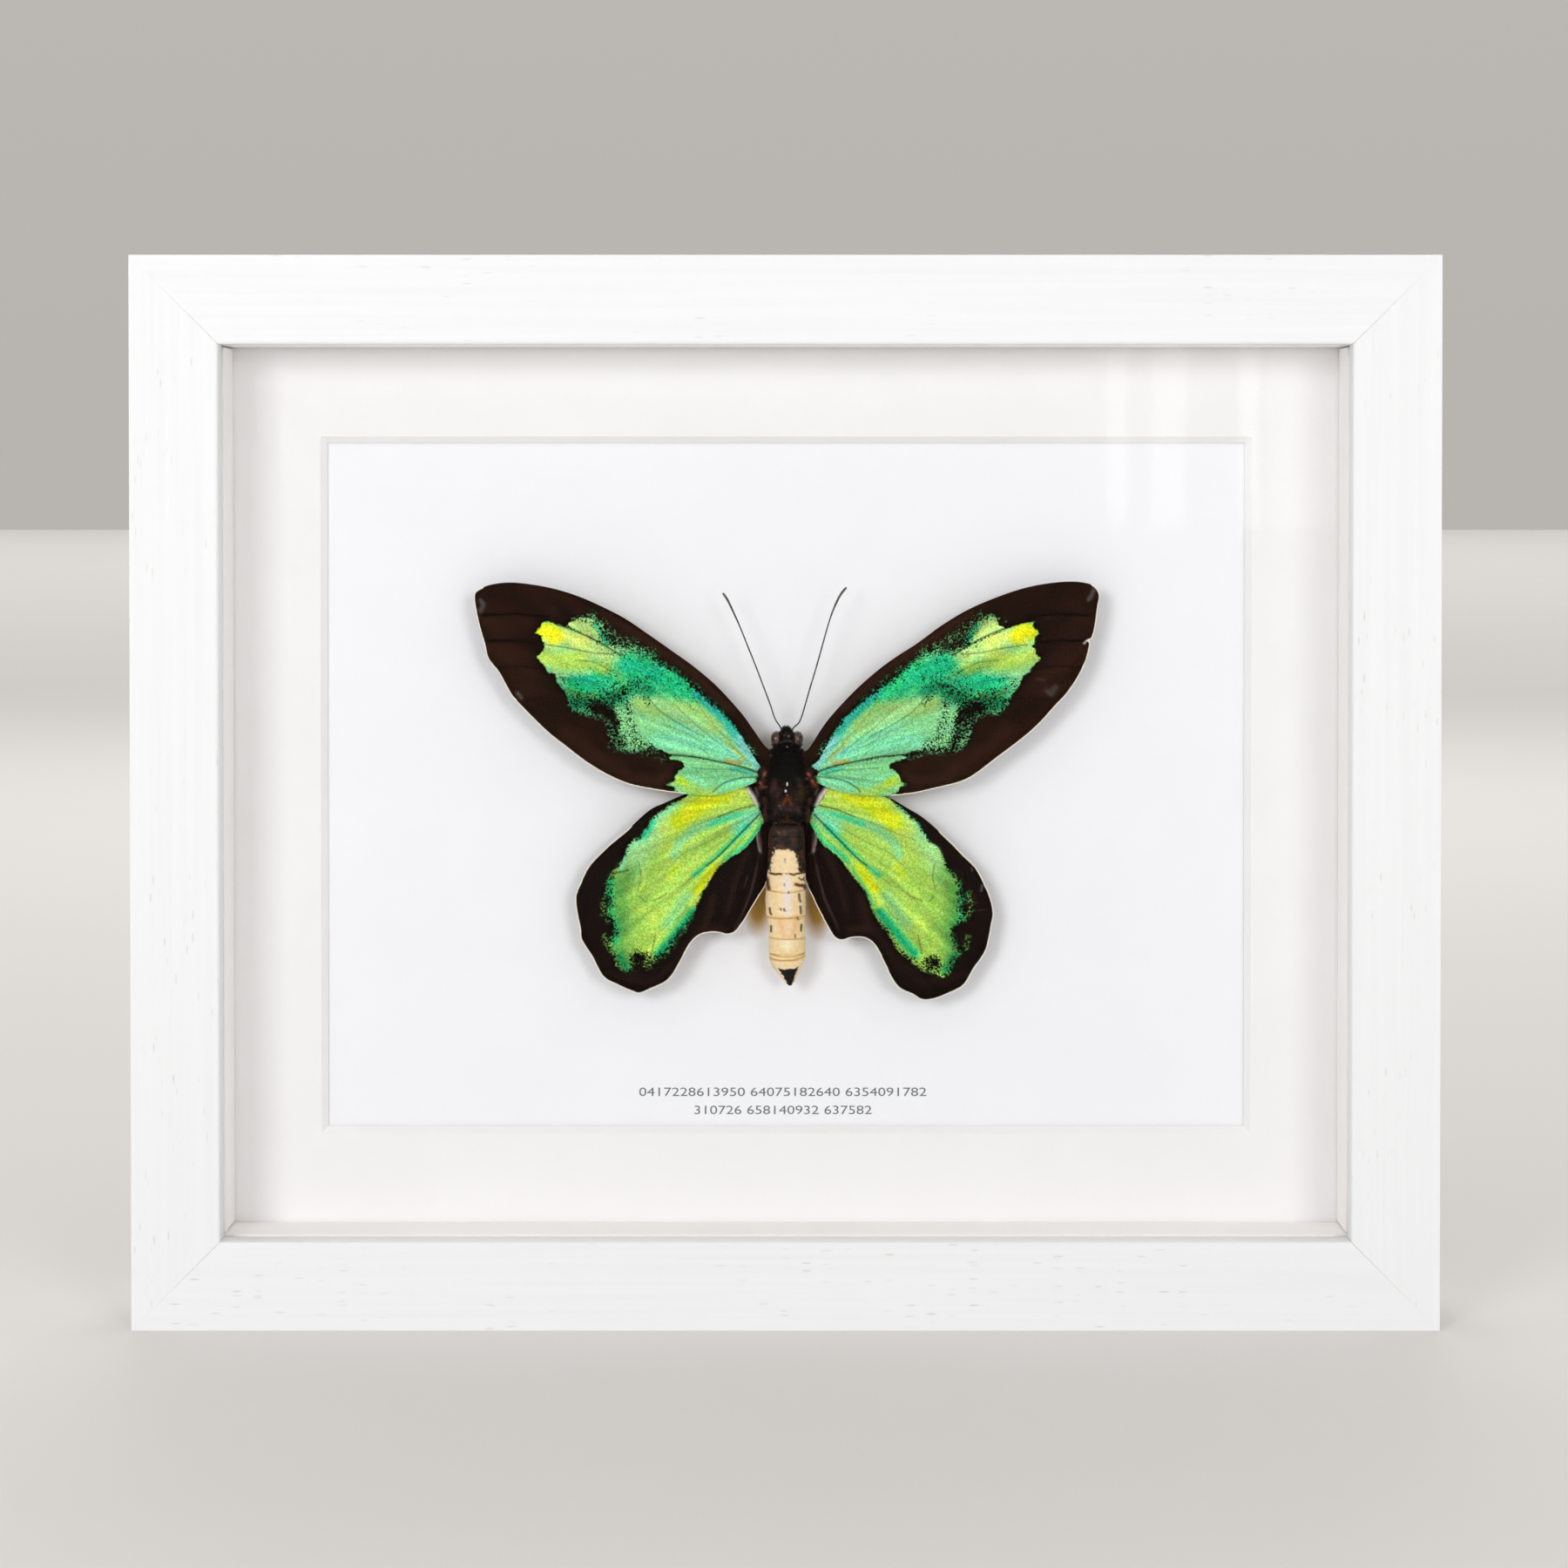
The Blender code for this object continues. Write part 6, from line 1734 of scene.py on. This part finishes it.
class BUTTERFLY_OT_pin(bpy.types.Operator):
    """Set the clipped pin and the two glue dabs beside it, painted white as glints"""

    bl_idname = "butterfly.pin"
    bl_label = "Pin"

    def execute(self, context):
        deselect()
        middle = (PIN_LOW + PIN_HIGH) / 2
        length = PIN_HIGH.y - PIN_LOW.y
        radius = (PIN_HIGH.x - PIN_LOW.x) / 2
        bpy.ops.mesh.primitive_cylinder_add(
            vertices=32, radius=radius, depth=length, location=middle, rotation=(math.radians(90), 0, 0)
        )
        pin = bpy.context.object
        pin.name = "pin_wire"
        bpy.ops.object.transform_apply(location=True, rotation=True, scale=True)

        def ends(a, b):
            return near(a.y, b.y)

        bevel_edges(pin, ends, 0.1 * MM, 3)
        pin.data.materials.append(stainless_wire())
        smooth(pin, 40)
        settle(pin, "stainless_pin", "mounting_pin")
        # The two glue dabs are white as painted glints
        glue = glue_with_painted_glints()
        bead = ball("glue_bead_painted_glints", *GLINT_GLUE_DABS[0], glue)
        join(bead, ball("dab", *GLINT_GLUE_DABS[1], glue))
        smooth(bead, 60)
        settle(bead, None)
        return {"FINISHED"}


# Each printed row: its figures, its width and the height of its top
CAPTION_ROWS = (("0417228613950 64075182640 6354091782", 63.2, 47.4), ("310726 658140932 637582", 39.0, 43.4))
CAPTION_X, FIGURE_HEIGHT = -0.7, 1.9


class BUTTERFLY_OT_caption(bpy.types.Operator):
    """Print two plain rows of figures under the specimen"""

    bl_idname = "butterfly.caption"
    bl_label = "Caption"

    def execute(self, context):
        ink = printing_ink()
        for number, (figures, width, z) in enumerate(CAPTION_ROWS):
            deselect()
            bpy.ops.object.text_add(location=(0, 0, 0))
            line = bpy.context.object
            line.name = f"caption_row_{number + 1}"
            line.data.body = figures
            line.data.align_x = "CENTER"
            line.data.extrude = 0.01 * MM
            line.data.size = 2.7 * MM
            line.data.resolution_u = 4
            activate(line)
            bpy.ops.object.convert(target="MESH")
            line = bpy.context.object
            turn = Matrix.Rotation(math.radians(90), 4, "X")
            stretch, rise = width * MM / line.dimensions.x, FIGURE_HEIGHT * MM / line.dimensions.y
            line.data.transform(turn)
            spot = Vector((CAPTION_X * MM, BACKING_FRONT - 0.015 * MM, (z - FIGURE_HEIGHT / 2) * MM))
            line.data.transform(Matrix.Translation(spot) @ Matrix.Diagonal((stretch, 1, rise, 1)))
            line.data.materials.append(ink)
            settle(line, None)
        return {"FINISHED"}


# Stage

# Soft lights turned to the frame, in metres and watts
SOFTBOXES = (
    ("softbox_left", (-0.55, -1.35, 0.44), (0.42, 0.42), 6.8, "FDFDFF"),
    ("softbox_right", (0.56, -1.55, 0.40), (0.42, 0.42), 5.6, "FDFDFF"),
    ("softbox_back", (0.0, 1.6, 1.3), (1.2, 0.9), 8, "FFFFFF"),
)
# A window's bars, seen only as weak streaks in the glass: place across, width, watts
WINDOW_BARS = (
    (0.192, 0.012, 0.08), (0.223, 0.02, 0.11), (0.223, 0.01, 0.07), (0.271, 0.012, 0.1), (0.303, 0.04, 0.16)
)
# The bars' distance in front, their height and how tall they are
BAR_PLACE, BAR_HEIGHT, BAR_LENGTH = -1.6, 0.215, 0.13
FLOOR_SIZE = 24.0
CAMERA_SIDE, CAMERA_TILT, CAMERA_SHIFT = 3.7 * MM, 89, (-0.012, -0.1537)


class StageSettings(bpy.types.PropertyGroup):
    paper: bpy.props.FloatVectorProperty(
        name="Paper", description="Colour of the floor", default=linear("E8E7E5"), size=4, subtype="COLOR"
    )
    lens: bpy.props.FloatProperty(name="Lens", description="Focal length in millimetres", default=95.0)
    eye_height: bpy.props.FloatProperty(
        name="Eye height", description="Height of the camera", default=0.184, unit="LENGTH"
    )
    eye_distance: bpy.props.FloatProperty(
        name="Eye distance", description="From the front to the camera", default=0.8825, unit="LENGTH"
    )


def softbox(name, location, target, size, power, colour="FFFFFF"):
    deselect()
    bpy.ops.object.light_add(type="AREA", location=location)
    lamp = bpy.context.object
    lamp.name = name
    lamp.data.shape = "RECTANGLE"
    lamp.data.size, lamp.data.size_y = size
    lamp.data.energy = power
    lamp.data.color = linear(colour)[:3]
    lamp.rotation_euler = (Vector(target) - Vector(location)).to_track_quat("-Z", "Y").to_euler()
    return lamp


def studio_surround():
    """Soft light from all round: grey at the horizon and bright overhead."""
    world = bpy.data.worlds.new("studio")
    world.use_nodes = True
    tree = world.node_tree
    way = add_node(tree, "ShaderNodeTexCoord").outputs["Generated"]
    rise = add_node(tree, "ShaderNodeSeparateXYZ", {0: way}).outputs[2]
    colour = mix(tree, ramp(tree, rise, 0.02, 0.85), linear("B8B4AF"), linear("D0CCC8"))
    fill(tree.nodes["Background"], {"Color": colour})
    return world


class BUTTERFLY_OT_stage(bpy.types.Operator):
    """Set the pale floor, the studio light and the camera"""

    bl_idname = "butterfly.stage"
    bl_label = "Stage"

    def execute(self, context):
        settings = context.scene.butterfly_stage
        deselect()
        bpy.ops.mesh.primitive_plane_add(size=FLOOR_SIZE, location=(0, 0, CAD_LOW.z))
        floor = bpy.context.object
        floor.name = "paper_floor"
        floor.data.materials.append(studio_paper(tuple(settings.paper)))
        middle = (CAD_LOW + CAD_HIGH) / 2
        for name, spot, size, power, colour in SOFTBOXES:
            softbox(name, spot, middle, size, power, colour)
        for x, wide, power in WINDOW_BARS:
            spot, target = (x, BAR_PLACE, BAR_HEIGHT), (x, 0, BAR_HEIGHT)
            bar = softbox("window_bar", spot, target, (wide, BAR_LENGTH), power)
            bar.visible_diffuse = False
        softbox("softbox_far", (0.0, 7.5, 5.0), (0.0, 7.5, 0.0), (11.0, 9.0), 190)
        context.scene.world = studio_surround()
        context.scene.view_settings.view_transform = "Standard"
        deselect()
        eye = (CAMERA_SIDE, FRONT - settings.eye_distance, settings.eye_height)
        bpy.ops.object.camera_add(location=eye, rotation=(math.radians(CAMERA_TILT), 0, 0))
        camera = bpy.context.object
        camera.data.lens = settings.lens
        camera.data.sensor_width = 36.0
        camera.data.shift_x, camera.data.shift_y = CAMERA_SHIFT
        context.scene.camera = camera
        return {"FINISHED"}


class BUTTERFLY_PT_panel(bpy.types.Panel):
    """Lists the steps of the framed butterfly in the 3D view's sidebar"""

    bl_idname = "BUTTERFLY_PT_panel"
    bl_label = "Framed Butterfly"
    bl_space_type = "VIEW_3D"
    bl_region_type = "UI"
    bl_category = "Butterfly"

    def draw(self, context):
        for step in STEPS:
            self.layout.operator(step.bl_idname)


STEPS = (
    BUTTERFLY_OT_rails,
    BUTTERFLY_OT_glass,
    BUTTERFLY_OT_boards,
    BUTTERFLY_OT_fittings,
    BUTTERFLY_OT_wings,
    BUTTERFLY_OT_body,
    BUTTERFLY_OT_antennae,
    BUTTERFLY_OT_pin,
    BUTTERFLY_OT_caption,
    BUTTERFLY_OT_stage,
)
SETTINGS = {
    "butterfly_moulding": MouldingSettings,
    "butterfly_wings": WingSettings,
    "butterfly_body": BodySettings,
    "butterfly_stage": StageSettings,
}


def register():
    for group in (*SETTINGS.values(), *STEPS, BUTTERFLY_PT_panel):
        bpy.utils.register_class(group)
    for name, group in SETTINGS.items():
        setattr(bpy.types.Scene, name, bpy.props.PointerProperty(type=group))


def unregister():
    for name in SETTINGS:
        delattr(bpy.types.Scene, name)
    for group in (BUTTERFLY_PT_panel, *reversed(STEPS), *SETTINGS.values()):
        bpy.utils.unregister_class(group)


def main():
    register()
    for step in STEPS:
        family, name = step.bl_idname.split(".")
        getattr(getattr(bpy.ops, family), name)()


if __name__ == "__main__":
    main()
